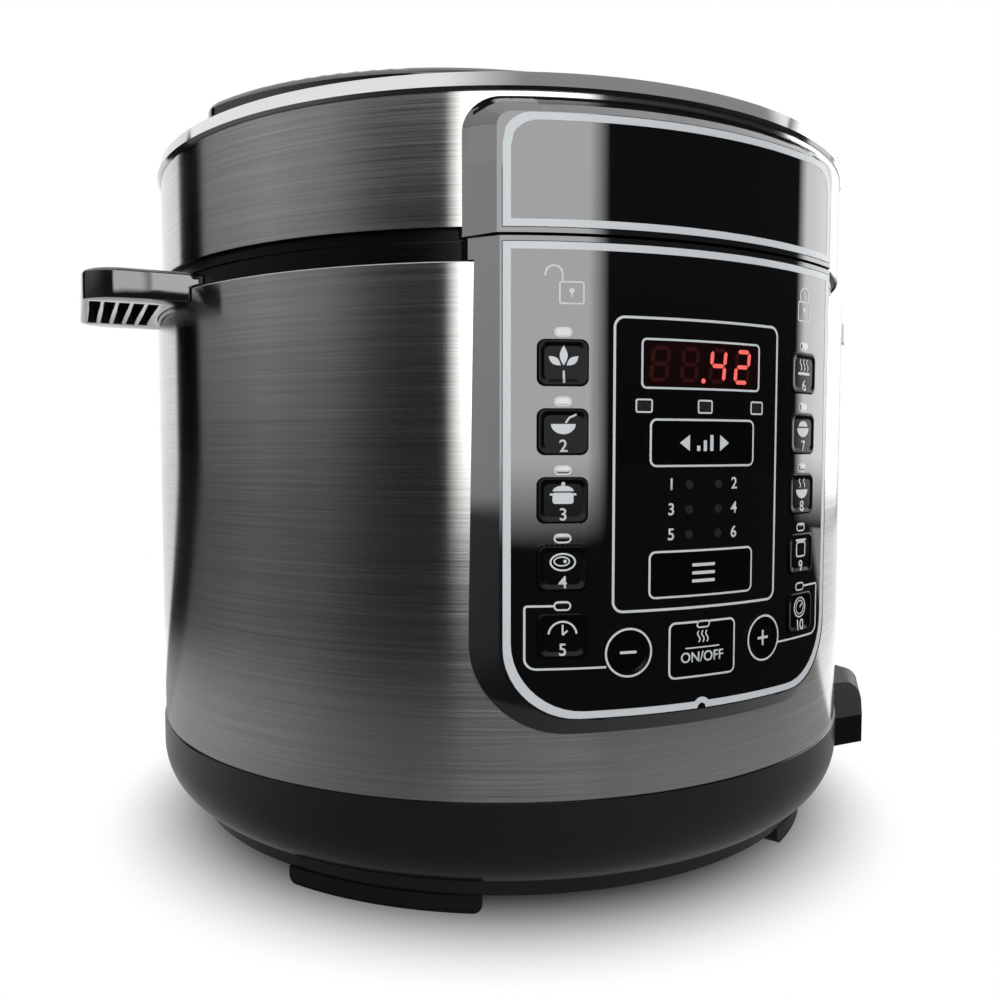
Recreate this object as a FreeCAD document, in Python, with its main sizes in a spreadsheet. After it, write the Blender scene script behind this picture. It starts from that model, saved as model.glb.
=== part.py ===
import FreeCAD, Part
import math
import os
import re

import Sketcher
from FreeCAD import Placement, Rotation, Vector

# Electric pressure cooker, five litres, in millimetres. The origin lies on the floor under the
# cooker's axis, +Z is up and the control panel faces -Y.

# Driving sizes. Heights of the outer stack run from the floor up, radii from the housing inwards.
SIZES = {
    # general clearances: fixed round fits, parts that slide or turn, flat parts set into pockets
    "fit_gap": 0.2,
    "run_gap": 0.4,
    # outer stack
    "body_radius": 140.0,
    "foot_height": 5.6,
    "ring_height": 6.45,
    "bowl_height": 19.35,
    "band_height": 8.7,
    "housing_height": 157.7,
    "neck_height": 6.2,
    "lid_gap": 0.6,
    "lip_height": 3.3,
    "skirt_height": 38.0,
    "rim_height": 5.1,
    "island_height": 22.0,
    # moulded base
    "base_wall": 2.6,
    "band_proud": 0.6,
    "bowl_inset": 9.2,
    "knee_rise": 7.4,
    "bowl_round": 22.5,
    "ring_inset": 4.3,
    "ring_width": 10.5,
    "upstand": 8.0,
    "vent_length": 34.0,
    "vent_width": 5.0,
    "vent_inner": 44.0,
    "vent_count": 12,
    # foot pads
    "foot_width": 9.0,
    "foot_proud": 0.8,
    "foot_span": 31.0,
    "foot_angle": 47.0,
    "foot_round": 3.0,
    # steel housing and the ring on top of it
    "housing_wall": 0.8,
    "edge_round": 0.35,
    "neck_step": 4.2,
    "neck_wall": 2.0,
    "neck_seat": 0.5,
    "channel_drop": 2.5,
    "channel_floor": 2.0,
    "channel_wall": 2.5,
    # bayonet between the outer pot's flange and the pressure lid
    "lock_clearance": 1.5,
    "lock_wall": 2.0,
    "tooth_depth": 5.0,
    "tooth_span": 26.0,
    "lug_span": 28.0,
    "lug_count": 6,
    "lug_clearance": 1.0,
    "lug_thickness": 3.0,
    "flange_width": 8.0,
    "flange_drop": 3.0,
    "flange_thickness": 2.5,
    # outer pot, heater and inner pot
    "shield_wall": 1.0,
    "shield_floor_rise": 4.0,
    "shield_hole": 30.0,
    "pot_gap": 2.8,
    "pot_wall": 2.0,
    "pot_round": 14.0,
    "pot_rim_width": 6.0,
    "pot_rim_thickness": 1.5,
    "heater_thickness": 8.0,
    "heater_leg": 5.0,
    "heater_leg_width": 8.0,
    "heater_inset": 22.0,
    "element_radius": 62.0,
    "element_width": 9.0,
    "element_drop": 4.0,
    "probe_radius": 9.0,
    "probe_collar": 3.0,
    "probe_collar_height": 2.0,
    "probe_tail": 13.0,
    "probe_travel": 1.5,
    "holder_wall": 1.5,
    "holder_flange": 6.0,
    "spring_height": 7.0,
    "spring_wire": 1.1,
    "spring_turns": 3.0,
    # lid
    "seal_height": 6.2,
    "seal_inset": 4.0,
    "seal_overlap": 1.5,
    "seal_lip": 2.2,
    "plate_thickness": 2.0,
    "lip_wall": 2.0,
    "lip_flange": 8.0,
    "lid_step": 2.0,
    "rim_proud": 1.3,
    "rim_low_proud": 0.5,
    "rim_bevel": 0.9,
    "rim_land": 1.8,
    "rim_ledge": 2.4,
    "rim_dish": 1.0,
    "rim_top_proud": 0.3,
    "rim_ledge_thickness": 2.0,
    "rim_width": 7.2,
    "cover_thickness": 2.5,
    "cover_sink": 2.0,
    "island_half_width": 84.0,
    "island_bow": 131.7,
    "island_tip": 20.0,
    "island_edge": 2.5,
    "well_wall": 24.0,
    "well_tip": 14.0,
    "well_depth": 32.0,
    "well_floor": 2.5,
    "island_wall": 4.0,
    "boss_radius": 4.5,
    "boss_count": 4,
    "boss_offset": 2.2,
    "screw_radius": 1.7,
    "screw_head": 3.2,
    "screw_head_height": 1.8,
    "screw_bite": 10.0,
    "bar_half_width": 18.0,
    "bar_thickness": 9.0,
    "bar_gap": 70.0,
    "bar_edge": 4.0,
    # valves on the lid
    "valve_x": -24.0,
    "valve_y": 38.0,
    "pipe_radius": 4.5,
    "pipe_bore": 1.5,
    "pipe_flange": 9.0,
    "pipe_flange_height": 2.5,
    "pipe_rise": 16.0,
    "pipe_tail": 3.0,
    "valve_radius": 12.5,
    "valve_lift": 2.0,
    "valve_sink": 8.0,
    "valve_fin_width": 5.0,
    "valve_fin_height": 5.0,
    "shield_cap_radius": 13.0,
    "shield_cap_height": 7.0,
    "shield_cap_wall": 1.5,
    "shield_slot": 3.0,
    "shield_slot_count": 3,
    "float_x": 26.0,
    "float_radius": 2.6,
    "float_sleeve_wall": 1.8,
    "float_sleeve_rise": 9.0,
    "float_foot": 6.0,
    "float_foot_height": 2.0,
    "float_travel": 4.0,
    # control panel; its heights hang from the split under the lid
    "panel_rise": 4.2,
    "panel_height": 144.6,
    "panel_half_width": 67.4,
    "panel_round": 34.0,
    "panel_slope": 5.6,
    "panel_edge": 0.4,
    "face_half_width": 60.3,
    "face_height": 137.8,
    "face_top_gap": 1.6,
    "face_round": 28.0,
    "face_thickness": 1.7,
    "face_ledge": 4.0,
    "lid_panel_gap": 0.9,
    "lid_panel_top_gap": 1.6,
    "lid_panel_round": 20.0,
    "lid_panel_half_width": 68.1,
    "lid_face_top_inset": 8.0,
    "lid_face_round": 13.0,
    # board behind the panel
    "board_gap": 4.1,
    "board_thickness": 1.6,
    "carrier_half_width": 55.0,
    "carrier_wall": 2.0,
    "carrier_drop": 132.0,
    "carrier_top_gap": 9.0,
    "switch_size": 6.0,
    "switch_height": 4.0,
    "led_size": 2.4,
    "led_rise": 4.2,
    "mode_lamp_drop": 47.2,
    "mode_lamp_spread": 20.6,
    "menu_lamp_x": 5.3,
    "menu_lamp_drop": 70.2,
    "menu_lamp_pitch": 7.4,
    "window_half_width": 21.3,
    "window_height": 14.0,
    "window_drop": 35.0,
    "module_inset": 1.5,
    "module_depth": 12.0,
    # keys
    "key_travel": 0.8,
    "key_proud": 0.5,
    "key_column": 44.3,
    "key_width": 14.1,
    "key_height": 13.1,
    "key_round": 2.2,
    "key_top_drop": 35.3,
    "key_pitch": 19.5,
    "wide_key_width": 38.4,
    "wide_key_height": 14.4,
    "adjust_drop": 57.9,
    "function_drop": 96.6,
    "cancel_width": 24.8,
    "cancel_height": 17.4,
    "cancel_drop": 119.6,
    "round_key_radius": 7.5,
    "round_key_x": 25.0,
    "round_key_drop": 119.0,
    # side handles
    "handle_reach": 26.6,
    "handle_half_width": 42.0,
    "handle_height": 9.8,
    "handle_drop": 0.8,
    "handle_round": 13.0,
    "handle_wall": 2.6,
    "handle_edge": 1.4,
    "handle_rib": 1.6,
    "handle_rib_count": 4,
    # mains inlet at the right
    "inlet_front": 87.0,
    "inlet_back": 46.0,
    "inlet_root": 13.0,
    "inlet_proud": 14.0,
    "inlet_shoulder": 58.0,
    "inlet_bottom": 21.5,
    "inlet_height": 22.5,
    "inlet_slope": 11.0,
    "inlet_round": 7.0,
    "socket_width": 13.0,
    "socket_height": 16.5,
    "socket_depth": 17.0,
    "socket_wall": 3.0,
    "pin_width": 4.0,
    "pin_thickness": 1.8,
    "pin_length": 13.0,
    "pin_spread": 4.6,
    # condensate cup at the back
    "cup_half_width": 30.0,
    "cup_depth": 20.0,
    "cup_height": 44.0,
    "cup_top_gap": 10.0,
    "cup_wall": 1.8,
    "cup_round": 9.0,
    "cup_rail": 3.0,
    "cup_rail_height": 3.0,
    "bracket_plate": 3.0,
    "bracket_lip": 2.5,
    # posts under the outer pot, and the power board inside the base
    "post_inset": 10.8,
    "post_radius": 5.0,
    "post_count": 4,
    "power_y": 52.0,
    "power_half_length": 34.0,
    "power_half_width": 22.0,
    "power_post": 6.0,
    "relay_size": 15.0,
}

# Heights and radii that follow from the driving sizes.
LAYOUT = {
    "ring_z": "foot_height",
    "bowl_z": "ring_z + ring_height",
    "band_z": "bowl_z + bowl_height",
    "housing_z": "band_z + band_height",
    "neck_z": "housing_z + housing_height",
    "split_z": "neck_z + neck_height",
    "lid_z": "split_z + lid_gap",
    "skirt_z": "lid_z + lip_height",
    "rim_z": "skirt_z + skirt_height",
    "deck_z": "rim_z + rim_height",
    "crown_z": "deck_z + island_height",
    "floor_top": "bowl_z + base_wall",
    "band_radius": "body_radius + band_proud",
    "bowl_radius": "body_radius - bowl_inset",
    "ring_radius": "bowl_radius - ring_inset",
    "ring_bore": "ring_radius - ring_width",
    "foot_radius": "ring_radius + foot_proud",
    "foot_bore": "foot_radius - foot_width",
    "housing_bore": "body_radius - housing_wall",
    "inside_radius": "housing_bore - fit_gap",
    "neck_radius": "body_radius - neck_step",
    "channel_radius": "neck_radius - neck_wall",
    "lock_radius": "channel_radius - lock_clearance",
    "lock_bore": "lock_radius - lock_wall",
    "tooth_radius": "lock_bore - lock_clearance",
    "root_radius": "tooth_radius - tooth_depth",
    "lug_radius": "root_radius + lock_clearance",
    "shield_radius": "root_radius - flange_width",
    "shield_bore": "shield_radius - shield_wall",
    "post_circle": "shield_bore - post_inset",
    "pot_radius": "shield_bore - pot_gap",
    "pot_bore": "pot_radius - pot_wall",
    "heater_radius": "pot_radius - heater_inset",
    "flange_z": "split_z - flange_drop",
    "flange_low": "flange_z - flange_thickness",
    "lug_top": "flange_low - lug_clearance",
    "lug_low": "lug_top - lug_thickness",
    "channel_z": "lug_low - channel_drop",
    "channel_low": "channel_z - channel_floor",
    "shield_z": "housing_z + shield_floor_rise",
    "heater_low": "shield_z + shield_wall + heater_leg",
    "heater_top": "heater_low + heater_thickness",
    "collar_top": "heater_low - probe_travel",
    "collar_low": "collar_top - probe_collar_height",
    "collar_radius": "probe_radius + probe_collar",
    "holder_bore": "collar_radius + run_gap",
    "spring_low": "collar_low - spring_height",
    "pot_rim_top": "flange_z + pot_rim_thickness",
    "seal_low": "pot_rim_top + run_gap",
    "plate_low": "seal_low + seal_height",
    "plate_top": "plate_low + plate_thickness",
    "skirt_radius": "body_radius - lid_step",
    "skirt_bore": "skirt_radius - housing_wall",
    "rim_bore": "skirt_radius - rim_width",
    "cover_z": "deck_z - cover_sink - cover_thickness",
    "cover_radius": "rim_bore - fit_gap",
    "well_half_width": "island_half_width - well_wall",
    "well_bow": "island_bow - well_wall",
    "hollow_half_width": "island_half_width - island_wall",
    "hollow_bow": "island_bow - island_wall",
    "hollow_tip": "island_tip - island_wall",
    "curb_half_width": "well_half_width + cover_thickness",
    "curb_bow": "well_bow + cover_thickness",
    "curb_tip": "well_tip + cover_thickness",
    "bar_half_depth": "well_half_width - fit_gap",
    "bar_bow": "well_bow - fit_gap",
    "bar_tip": "well_tip - fit_gap",
    "boss_place": "(shield_radius + boss_offset) / sqrt(2)",
    "deck_top": "cover_z + cover_thickness",
    "well_z": "crown_z - well_depth",
    "panel_radius": "body_radius + panel_rise",
    "panel_bottom": "split_z - panel_height",
    "face_bottom": "split_z - face_height",
    "carrier_bottom": "split_z - carrier_drop",
    "window_z": "split_z - window_drop",
    "mode_lamp_z": "split_z - mode_lamp_drop",
    "menu_lamp_z": "split_z - menu_lamp_drop",
    "key_top": "split_z - key_top_drop",
    "adjust_z": "split_z - adjust_drop",
    "function_z": "split_z - function_drop",
    "cancel_z": "split_z - cancel_drop",
    "round_key_z": "split_z - round_key_drop",
    "face_back": "panel_radius - face_thickness",
    "lid_panel_z": "split_z + lid_panel_gap",
    "lid_panel_top": "rim_z - lid_panel_top_gap",
    "board_back": "shield_radius + board_gap",
    "board_front": "board_back + board_thickness",
    "key_back": "board_front + switch_height + key_travel + run_gap",
    "key_radius": "panel_radius + key_proud",
    "carrier_top": "neck_z - carrier_top_gap",
    "handle_top": "split_z - handle_drop",
    "handle_z": "handle_top - handle_height",
    "handle_end": "body_radius + handle_reach",
    "inlet_near": "body_radius - inlet_root",
    "inlet_reach": "body_radius + inlet_proud",
    "inlet_top": "inlet_bottom + inlet_height",
    "socket_z": "inlet_bottom + inlet_height / 2",
    "handle_hollow": "handle_reach - 2 * handle_wall - handle_rib_count * handle_rib",
    "handle_cell": "handle_hollow / (handle_rib_count + 1)",
    "pipe_top": "well_z + pipe_rise",
    "valve_z": "well_z + valve_lift",
    "valve_top": "crown_z - valve_sink",
    "cup_top": "neck_z - cup_top_gap",
    "cup_z": "cup_top - cup_height",
    "cup_front": "body_radius + bracket_plate + bracket_lip",
    "cup_back": "cup_front + cup_depth",
}

doc = FreeCAD.newDocument("pressure_cooker")
nodes = []


def fill_sheet(name, cells):
    """Put one named value in each row of a new sheet and give it its alias."""
    sheet = doc.addObject("Spreadsheet::Sheet", name)
    for row, (alias, content) in enumerate(cells.items(), 1):
        sheet.set(f"A{row}", alias)
        sheet.set(f"B{row}", str(content))
        sheet.setAlias(f"B{row}", alias)
    doc.recompute()
    return sheet


def bound(text):
    """The expression with the sheet written before each size's name."""
    def cell(match):
        word = match.group()
        if word in SIZES:
            return f"Dims.{word}"
        return f"Layout.{word}" if word in LAYOUT else word

    return re.sub(r"[a-z_]+", cell, text)


def formula(text):
    """The content of a layout cell, which finds its own sheet's names without help."""
    return "=" + bound(text).replace("Layout.", "")


dims = fill_sheet("Dims", SIZES)
layout = fill_sheet("Layout", {name: formula(text) for name, text in LAYOUT.items()})


def size(name):
    """A driving size or a layout value as a plain number."""
    return float(getattr(dims if name in SIZES else layout, name))


def new_body(label):
    body = doc.addObject("PartDesign::Body", label)
    body.Label = label
    return body


def finish(piece):
    """Enter a piece in the list of those that are written out."""
    nodes.append(piece)


def origin_plane(body, role):
    return next(f for f in body.Origin.OriginFeatures if f.Role == role)


def new_sketch(body, plane, offset=None, turn=None):
    """An empty sketch on one of the body's origin planes, moved along its normal or turned about Z."""
    sketch = body.newObject("Sketcher::SketchObject", "Sketch")
    sketch.AttachmentSupport = [(origin_plane(body, plane), "")]
    sketch.MapMode = "FlatFace"
    if offset:
        sketch.setExpression("AttachmentOffset.Base.z", bound(offset))
    if turn:
        sketch.AttachmentOffset = Placement(Vector(), Rotation(Vector(0, 1, 0), 1))
        sketch.setExpression("AttachmentOffset.Rotation.Angle", bound(turn))
    return sketch


def pin_point(sketch, element, point, place):
    """Hold one point of a sketch at a place given as two expressions."""
    for kind, text in zip(("DistanceX", "DistanceY"), place):
        index = sketch.addConstraint(Sketcher.Constraint(kind, -1, 1, element, point, 1.0))
        sketch.setExpression(f"Constraints[{index}]", bound(text))


def add_polygon(sketch, corners):
    """A closed outline of straight lines, each corner held by two expressions."""
    count = len(corners)
    first = sketch.GeometryCount
    start = [Rotation(Vector(0, 0, 1), 360.0 * i / count).multVec(Vector(count, 0, 0)) for i in range(count)]
    for i in range(count):
        sketch.addGeometry(Part.LineSegment(start[i], start[(i + 1) % count]), False)
    for i in range(count):
        sketch.addConstraint(Sketcher.Constraint("Coincident", first + i, 2, first + (i + 1) % count, 1))
    for i, corner in enumerate(corners):
        pin_point(sketch, first + i, 1, corner)


def add_rectangle(sketch, low, high):
    add_polygon(sketch, [low, (high[0], low[1]), high, (low[0], high[1])])


def add_block(sketch, x, z, width, height):
    """A rectangle about its centre."""
    low = (f"{x} - ({width}) / 2", f"{z} - ({height}) / 2")
    high = (f"{x} + ({width}) / 2", f"{z} + ({height}) / 2")
    add_rectangle(sketch, low, high)


def add_lens(sketch, half_width, bow, tip):
    """A lens of two bows whose ends on the X axis are rounded off."""
    offset = size(bow) - size(half_width)
    reach = ((size(bow) - size(tip)) ** 2 - offset ** 2) ** 0.5
    lean = math.atan2(offset, reach)
    first = sketch.GeometryCount
    arcs = [((0, offset), bow, math.pi + lean, -lean), ((reach, 0), tip, -lean, lean),
            ((0, -offset), bow, lean, math.pi - lean), ((-reach, 0), tip, math.pi - lean, math.pi + lean)]
    for centre, radius, start, end in arcs:
        circle = Part.Circle(Vector(*centre, 0), Vector(0, 0, 1), size(radius))
        sketch.addGeometry(Part.ArcOfCircle(circle, start, end), False)
    for i, (centre, radius, start, end) in enumerate(arcs):
        sketch.addConstraint(Sketcher.Constraint("Tangent", first + i, 2, first + (i + 1) % len(arcs), 1))
        index = sketch.addConstraint(Sketcher.Constraint("Radius", first + i, size(radius)))
        sketch.setExpression(f"Constraints[{index}]", bound(radius))
    for i, sign in ((first, 1), (first + 2, -1)):
        sketch.addConstraint(Sketcher.Constraint("PointOnObject", i, 3, -2))
        index = sketch.addConstraint(Sketcher.Constraint("DistanceY", -1, 1, i, 3, sign * offset))
        sketch.setExpression(f"Constraints[{index}]", bound(f"{sign} * ({bow} - {half_width})"))


def add_circle(sketch, x, y, radius):
    index = sketch.addGeometry(Part.Circle(Vector(1, 1, 0), Vector(0, 0, 1), 1.0), False)
    pin_point(sketch, index, 3, (x, y))
    constraint = sketch.addConstraint(Sketcher.Constraint("Radius", index, 1.0))
    sketch.setExpression(f"Constraints[{constraint}]", bound(radius))


def turn_profile(body, kind, sketch, angle=None):
    """Turn a profile about the upright axis, all the way or by an angle to both sides of the sketch."""
    feature = body.newObject("PartDesign::" + kind, kind)
    feature.Profile = sketch
    feature.ReferenceAxis = (sketch, ["V_Axis"])
    feature.Angle = 360.0
    if angle:
        feature.Midplane = True
        feature.setExpression("Angle", bound(angle))
    doc.recompute()
    return feature


def revolve(body, corners, angle=None, turn=None):
    sketch = new_sketch(body, "XZ_Plane", turn=turn)
    add_polygon(sketch, corners)
    return turn_profile(body, "Revolution", sketch, angle)


def groove(body, corners, angle=None, turn=None):
    before = body.Shape.Volume
    sketch = new_sketch(body, "XZ_Plane", turn=turn)
    add_polygon(sketch, corners)
    feature = turn_profile(body, "Groove", sketch, angle)
    if body.Shape.Volume >= before:
        raise RuntimeError(f"a groove of {body.Label} cuts nothing")
    return feature


def pad(body, sketch, length, reverse=False):
    feature = body.newObject("PartDesign::Pad", "Pad")
    feature.Profile = sketch
    feature.Reversed = reverse
    feature.setExpression("Length", bound(length))
    doc.recompute()
    return feature


def pocket(body, sketch, length=None, reverse=False):
    """Cut a sketch into the body, to a depth or right through both ways."""
    before = body.Shape.Volume
    feature = body.newObject("PartDesign::Pocket", "Pocket")
    feature.Profile = sketch
    feature.Reversed = reverse
    if length:
        feature.setExpression("Length", bound(length))
    else:
        feature.Type = "ThroughAll"
        feature.SideType = "Symmetric"
    doc.recompute()
    if body.Shape.Volume >= before:
        raise RuntimeError(f"a pocket of {body.Label} cuts nothing")
    return feature


def repeat(body, features, count):
    """Repeat features round the upright axis."""
    pattern = body.newObject("PartDesign::PolarPattern", "PolarPattern")
    pattern.Originals = features
    pattern.Axis = (next(f for f in body.Origin.OriginFeatures if f.Role == "Z_Axis"), [""])
    pattern.Angle = 360.0
    pattern.setExpression("Occurrences", bound(count))
    body.Tip = pattern
    doc.recompute()
    return pattern


def mirror_body(body, plane):
    """Add the mirror image of all that the body holds so far."""
    copy = body.newObject("PartDesign::Mirrored", "Mirrored")
    copy.TransformMode = "Whole shape"
    copy.MirrorPlane = (origin_plane(body, plane), [""])
    body.Tip = copy
    doc.recompute()


def edges_where(shape, test):
    """Names of the edges whose ends and middle all pass a test on a point."""
    found = []
    for i, edge in enumerate(shape.Edges, 1):
        middle = edge.valueAt((edge.FirstParameter + edge.LastParameter) / 2)
        if all(test(p) for p in [v.Point for v in edge.Vertexes] + [middle]):
            found.append(f"Edge{i}")
    return found


def near(a, b):
    return abs(a - b) < 1e-3


def on_radius(radius):
    """A test for points at a distance from the upright axis."""
    return lambda p: near((p.x ** 2 + p.y ** 2) ** 0.5, radius)


def ease(body, kind, test, amount):
    """Fillet or chamfer the edges of the body's last feature that pass a test."""
    base = body.Tip
    names = edges_where(base.Shape, test)
    if not names:
        raise RuntimeError(f"no edge of {body.Label} to ease")
    feature = body.newObject("PartDesign::" + kind, kind)
    feature.Base = (base, names)
    feature.setExpression("Radius" if kind == "Fillet" else "Size", bound(amount))
    doc.recompute()
    return feature


def fillet(body, test, radius):
    return ease(body, "Fillet", test, radius)


def cut(base, tool, label):
    feature = doc.addObject("Part::Cut", label)
    feature.Base = base
    feature.Tool = tool
    feature.Label = label
    doc.recompute()
    return feature


def moulded_base():
    """Black bottom moulding: band under the steel, bowl, foot ring, vented floor and pot posts."""
    body = new_body("base_shell")
    revolve(body, [
        ("ring_bore", "ring_z"), ("ring_radius", "ring_z"), ("ring_radius", "bowl_z"),
        ("bowl_radius", "bowl_z"), ("band_radius", "bowl_z + knee_rise"), ("band_radius", "housing_z"),
        ("inside_radius", "housing_z"), ("inside_radius", "housing_z + upstand"),
        ("inside_radius - base_wall", "housing_z + upstand"),
        ("inside_radius - base_wall", "bowl_z + knee_rise + base_wall"),
        ("bowl_radius - base_wall", "floor_top"), ("0", "floor_top"), ("0", "bowl_z"),
        ("ring_bore", "bowl_z")])
    knee = size("bowl_z") + size("knee_rise")
    on_band = on_radius(size("band_radius"))
    fillet(body, lambda p: near(p.z, knee) and on_band(p), "bowl_round")
    vent = new_sketch(body, "XY_Plane", "bowl_z")
    add_rectangle(vent, ("vent_inner", "-vent_width / 2"), ("vent_inner + vent_length", "vent_width / 2"))
    repeat(body, [pocket(body, vent, "base_wall", reverse=True)], "vent_count")
    post = new_sketch(body, "XY_Plane", "floor_top - base_wall / 2")
    add_circle(post, "post_circle", "0", "post_radius")
    repeat(body, [pad(body, post, "shield_z - floor_top + base_wall / 2")], "post_count")
    pilot = new_sketch(body, "XY_Plane", "shield_z")
    add_circle(pilot, "post_circle", "0", "screw_radius + fit_gap")
    repeat(body, [pocket(body, pilot, "screw_bite + run_gap")], "post_count")
    finish(body)


def foot_pads():
    """Four curved pads under the foot ring, with their lower ends rounded off."""
    body = new_body("foot_pads")
    first = revolve(body, [
        ("foot_bore", "0"), ("foot_radius", "0"), ("foot_radius", "foot_height"),
        ("foot_bore", "foot_height")], "foot_span", "foot_angle")
    ends = [f"Edge{i}" for i, edge in enumerate(first.Shape.Edges, 1)
            if edge.Curve.TypeId == "Part::GeomLine" and all(near(v.Point.z, 0) for v in edge.Vertexes)]
    rounded = body.newObject("PartDesign::Fillet", "Fillet")
    rounded.Base = (first, ends)
    rounded.setExpression("Radius", bound("foot_round"))
    doc.recompute()
    mirror_body(body, "XZ_Plane")
    mirror_body(body, "YZ_Plane")
    finish(body)


def pot_screws():
    """Screws through the outer pot's floor into the posts of the moulded base."""
    body = new_body("pot_screws")
    shank = new_sketch(body, "XY_Plane", "shield_z + shield_wall")
    add_circle(shank, "post_circle", "0", "screw_radius")
    head = new_sketch(body, "XY_Plane", "shield_z + shield_wall")
    add_circle(head, "post_circle", "0", "screw_head")
    pads = [pad(body, shank, "screw_bite + shield_wall", reverse=True), pad(body, head, "screw_head_height")]
    repeat(body, pads, "post_count")
    finish(body)


def power_board():
    """Mains board on four spacers over the moulded floor, with its relay and capacitor."""
    body = new_body("power_board")
    board_z = "floor_top + power_post"
    board = new_sketch(body, "XY_Plane", board_z)
    add_rectangle(board, ("-power_half_length", "power_y - power_half_width"),
                  ("power_half_length", "power_y + power_half_width"))
    pad(body, board, "board_thickness")
    spacers = new_sketch(body, "XY_Plane", "floor_top")
    for x in ("-power_half_length + post_radius", "power_half_length - post_radius"):
        for y in ("power_y - power_half_width + post_radius", "power_y + power_half_width - post_radius"):
            add_circle(spacers, x, y, "post_radius / 2")
    pad(body, spacers, "power_post")
    parts = new_sketch(body, "XY_Plane", board_z + " + board_thickness")
    add_block(parts, "-relay_size", "power_y", "relay_size", "relay_size")
    add_circle(parts, "relay_size", "power_y", "relay_size / 3")
    pad(body, parts, "relay_size")
    finish(body)


def steel_housing():
    """Brushed steel sleeve with the opening behind the control panel."""
    body = new_body("housing_shell")
    revolve(body, [
        ("housing_bore", "housing_z"), ("body_radius", "housing_z"),
        ("body_radius", "neck_z"), ("housing_bore", "neck_z")])
    fillet(body, on_radius(size("body_radius")), "edge_round")
    window = new_sketch(body, "XZ_Plane")
    add_rectangle(window, ("-carrier_half_width - run_gap", "carrier_bottom - run_gap"),
                  ("carrier_half_width + run_gap", "carrier_top + run_gap"))
    pocket(body, window, "panel_radius", reverse=True)
    finish(body)


def neck_ring():
    """Black ring on top of the housing: its channel catches condensate and lets the lid's lugs turn."""
    body = new_body("neck_ring")
    inner = "shield_radius + fit_gap"
    step = "neck_z - neck_seat"
    revolve(body, [
        (inner, "channel_low"), ("inside_radius", "channel_low"), ("inside_radius", step),
        ("neck_radius", step), ("neck_radius", "split_z"), ("channel_radius", "split_z"),
        ("channel_radius", "channel_z"), (inner + " + channel_wall", "channel_z"),
        (inner + " + channel_wall", "flange_low"), (inner, "flange_low")])
    finish(body)


def outer_pot():
    """Pressed steel pot that carries the heater; its flange has the bayonet teeth."""
    body = new_body("outer_pot")
    revolve(body, [
        ("shield_hole", "shield_z"), ("shield_radius", "shield_z"), ("shield_radius", "flange_low"),
        ("root_radius", "flange_low"), ("root_radius", "flange_z"), ("shield_bore", "flange_z"),
        ("shield_bore", "shield_z + shield_wall"), ("shield_hole", "shield_z + shield_wall")])
    tooth = revolve(body, [
        ("root_radius - tooth_depth / 2", "flange_low"), ("tooth_radius", "flange_low"),
        ("tooth_radius", "flange_z"), ("root_radius - tooth_depth / 2", "flange_z")], "tooth_span")
    repeat(body, [tooth], "lug_count")
    hole = new_sketch(body, "XY_Plane", "shield_z")
    add_circle(hole, "post_circle", "0", "screw_radius + fit_gap")
    repeat(body, [pocket(body, hole, "shield_wall", reverse=True)], "post_count")
    finish(body)


def heater_plate():
    """Cast plate under the inner pot, with the heating element in the ring below it."""
    body = new_body("heater_plate")
    hole = "probe_radius + run_gap"
    leg = "heater_radius - heater_leg_width"
    foot_z = "shield_z + shield_wall"
    revolve(body, [
        (hole, "heater_low"), ("element_radius - element_width / 2", "heater_low"),
        ("element_radius - element_width / 2", "heater_low - element_drop"),
        ("element_radius + element_width / 2", "heater_low - element_drop"),
        ("element_radius + element_width / 2", "heater_low"), (leg, "heater_low"),
        (leg, foot_z), ("heater_radius", foot_z), ("heater_radius", "heater_top"), (hole, "heater_top")])
    finish(body)


def temperature_probe():
    """Sprung sensor that the inner pot presses down in the middle of the heater, and its holder."""
    probe = new_body("temperature_probe")
    stem = "probe_radius / 2"
    revolve(probe, [
        ("0", "collar_low - probe_tail"), (stem, "collar_low - probe_tail"), (stem, "collar_low"),
        ("collar_radius", "collar_low"), ("collar_radius", "collar_top"), ("probe_radius", "collar_top"),
        ("probe_radius", "heater_top"), ("0", "heater_top")])
    finish(probe)
    holder = new_body("probe_holder")
    outside, floor = "holder_bore + holder_wall", "spring_low - holder_wall"
    rim, hole = outside + " + holder_flange", stem + " + run_gap"
    revolve(holder, [
        (hole, floor), (outside, floor), (outside, "heater_low - holder_wall"),
        (rim, "heater_low - holder_wall"), (rim, "heater_low"), ("holder_bore", "heater_low"),
        ("holder_bore", "spring_low"), (hole, "spring_low")])
    finish(holder)
    spring = new_body("probe_spring")
    wire = new_sketch(spring, "XZ_Plane")
    add_circle(wire, "(probe_radius + collar_radius) / 2", "spring_low + spring_wire / 2", "spring_wire / 2")
    coil = spring.newObject("PartDesign::AdditiveHelix", "Helix")
    coil.Profile = wire
    coil.ReferenceAxis = (wire, ["V_Axis"])
    coil.Mode = "height-turns-angle"
    coil.setExpression("Height", bound("spring_height - spring_wire"))
    coil.setExpression("Turns", bound("spring_turns"))
    doc.recompute()
    finish(spring)


def inner_pot():
    """Lift-out cooking pot with a turned rim that rests on the outer pot's flange."""
    body = new_body("inner_pot")
    rim = "pot_radius + pot_rim_width"
    revolve(body, [
        ("0", "heater_top"), ("pot_radius", "heater_top"), ("pot_radius", "flange_z"), (rim, "flange_z"),
        (rim, "pot_rim_top"), ("pot_bore", "pot_rim_top"), ("pot_bore", "heater_top + pot_wall"),
        ("0", "heater_top + pot_wall")])
    low, high = size("heater_top"), size("heater_top") + size("pot_wall")
    outside, inside = on_radius(size("pot_radius")), on_radius(size("pot_bore"))
    fillet(body, lambda p: near(p.z, low) and outside(p), "pot_round")
    fillet(body, lambda p: near(p.z, high) and inside(p), "pot_round - pot_wall")
    finish(body)


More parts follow.
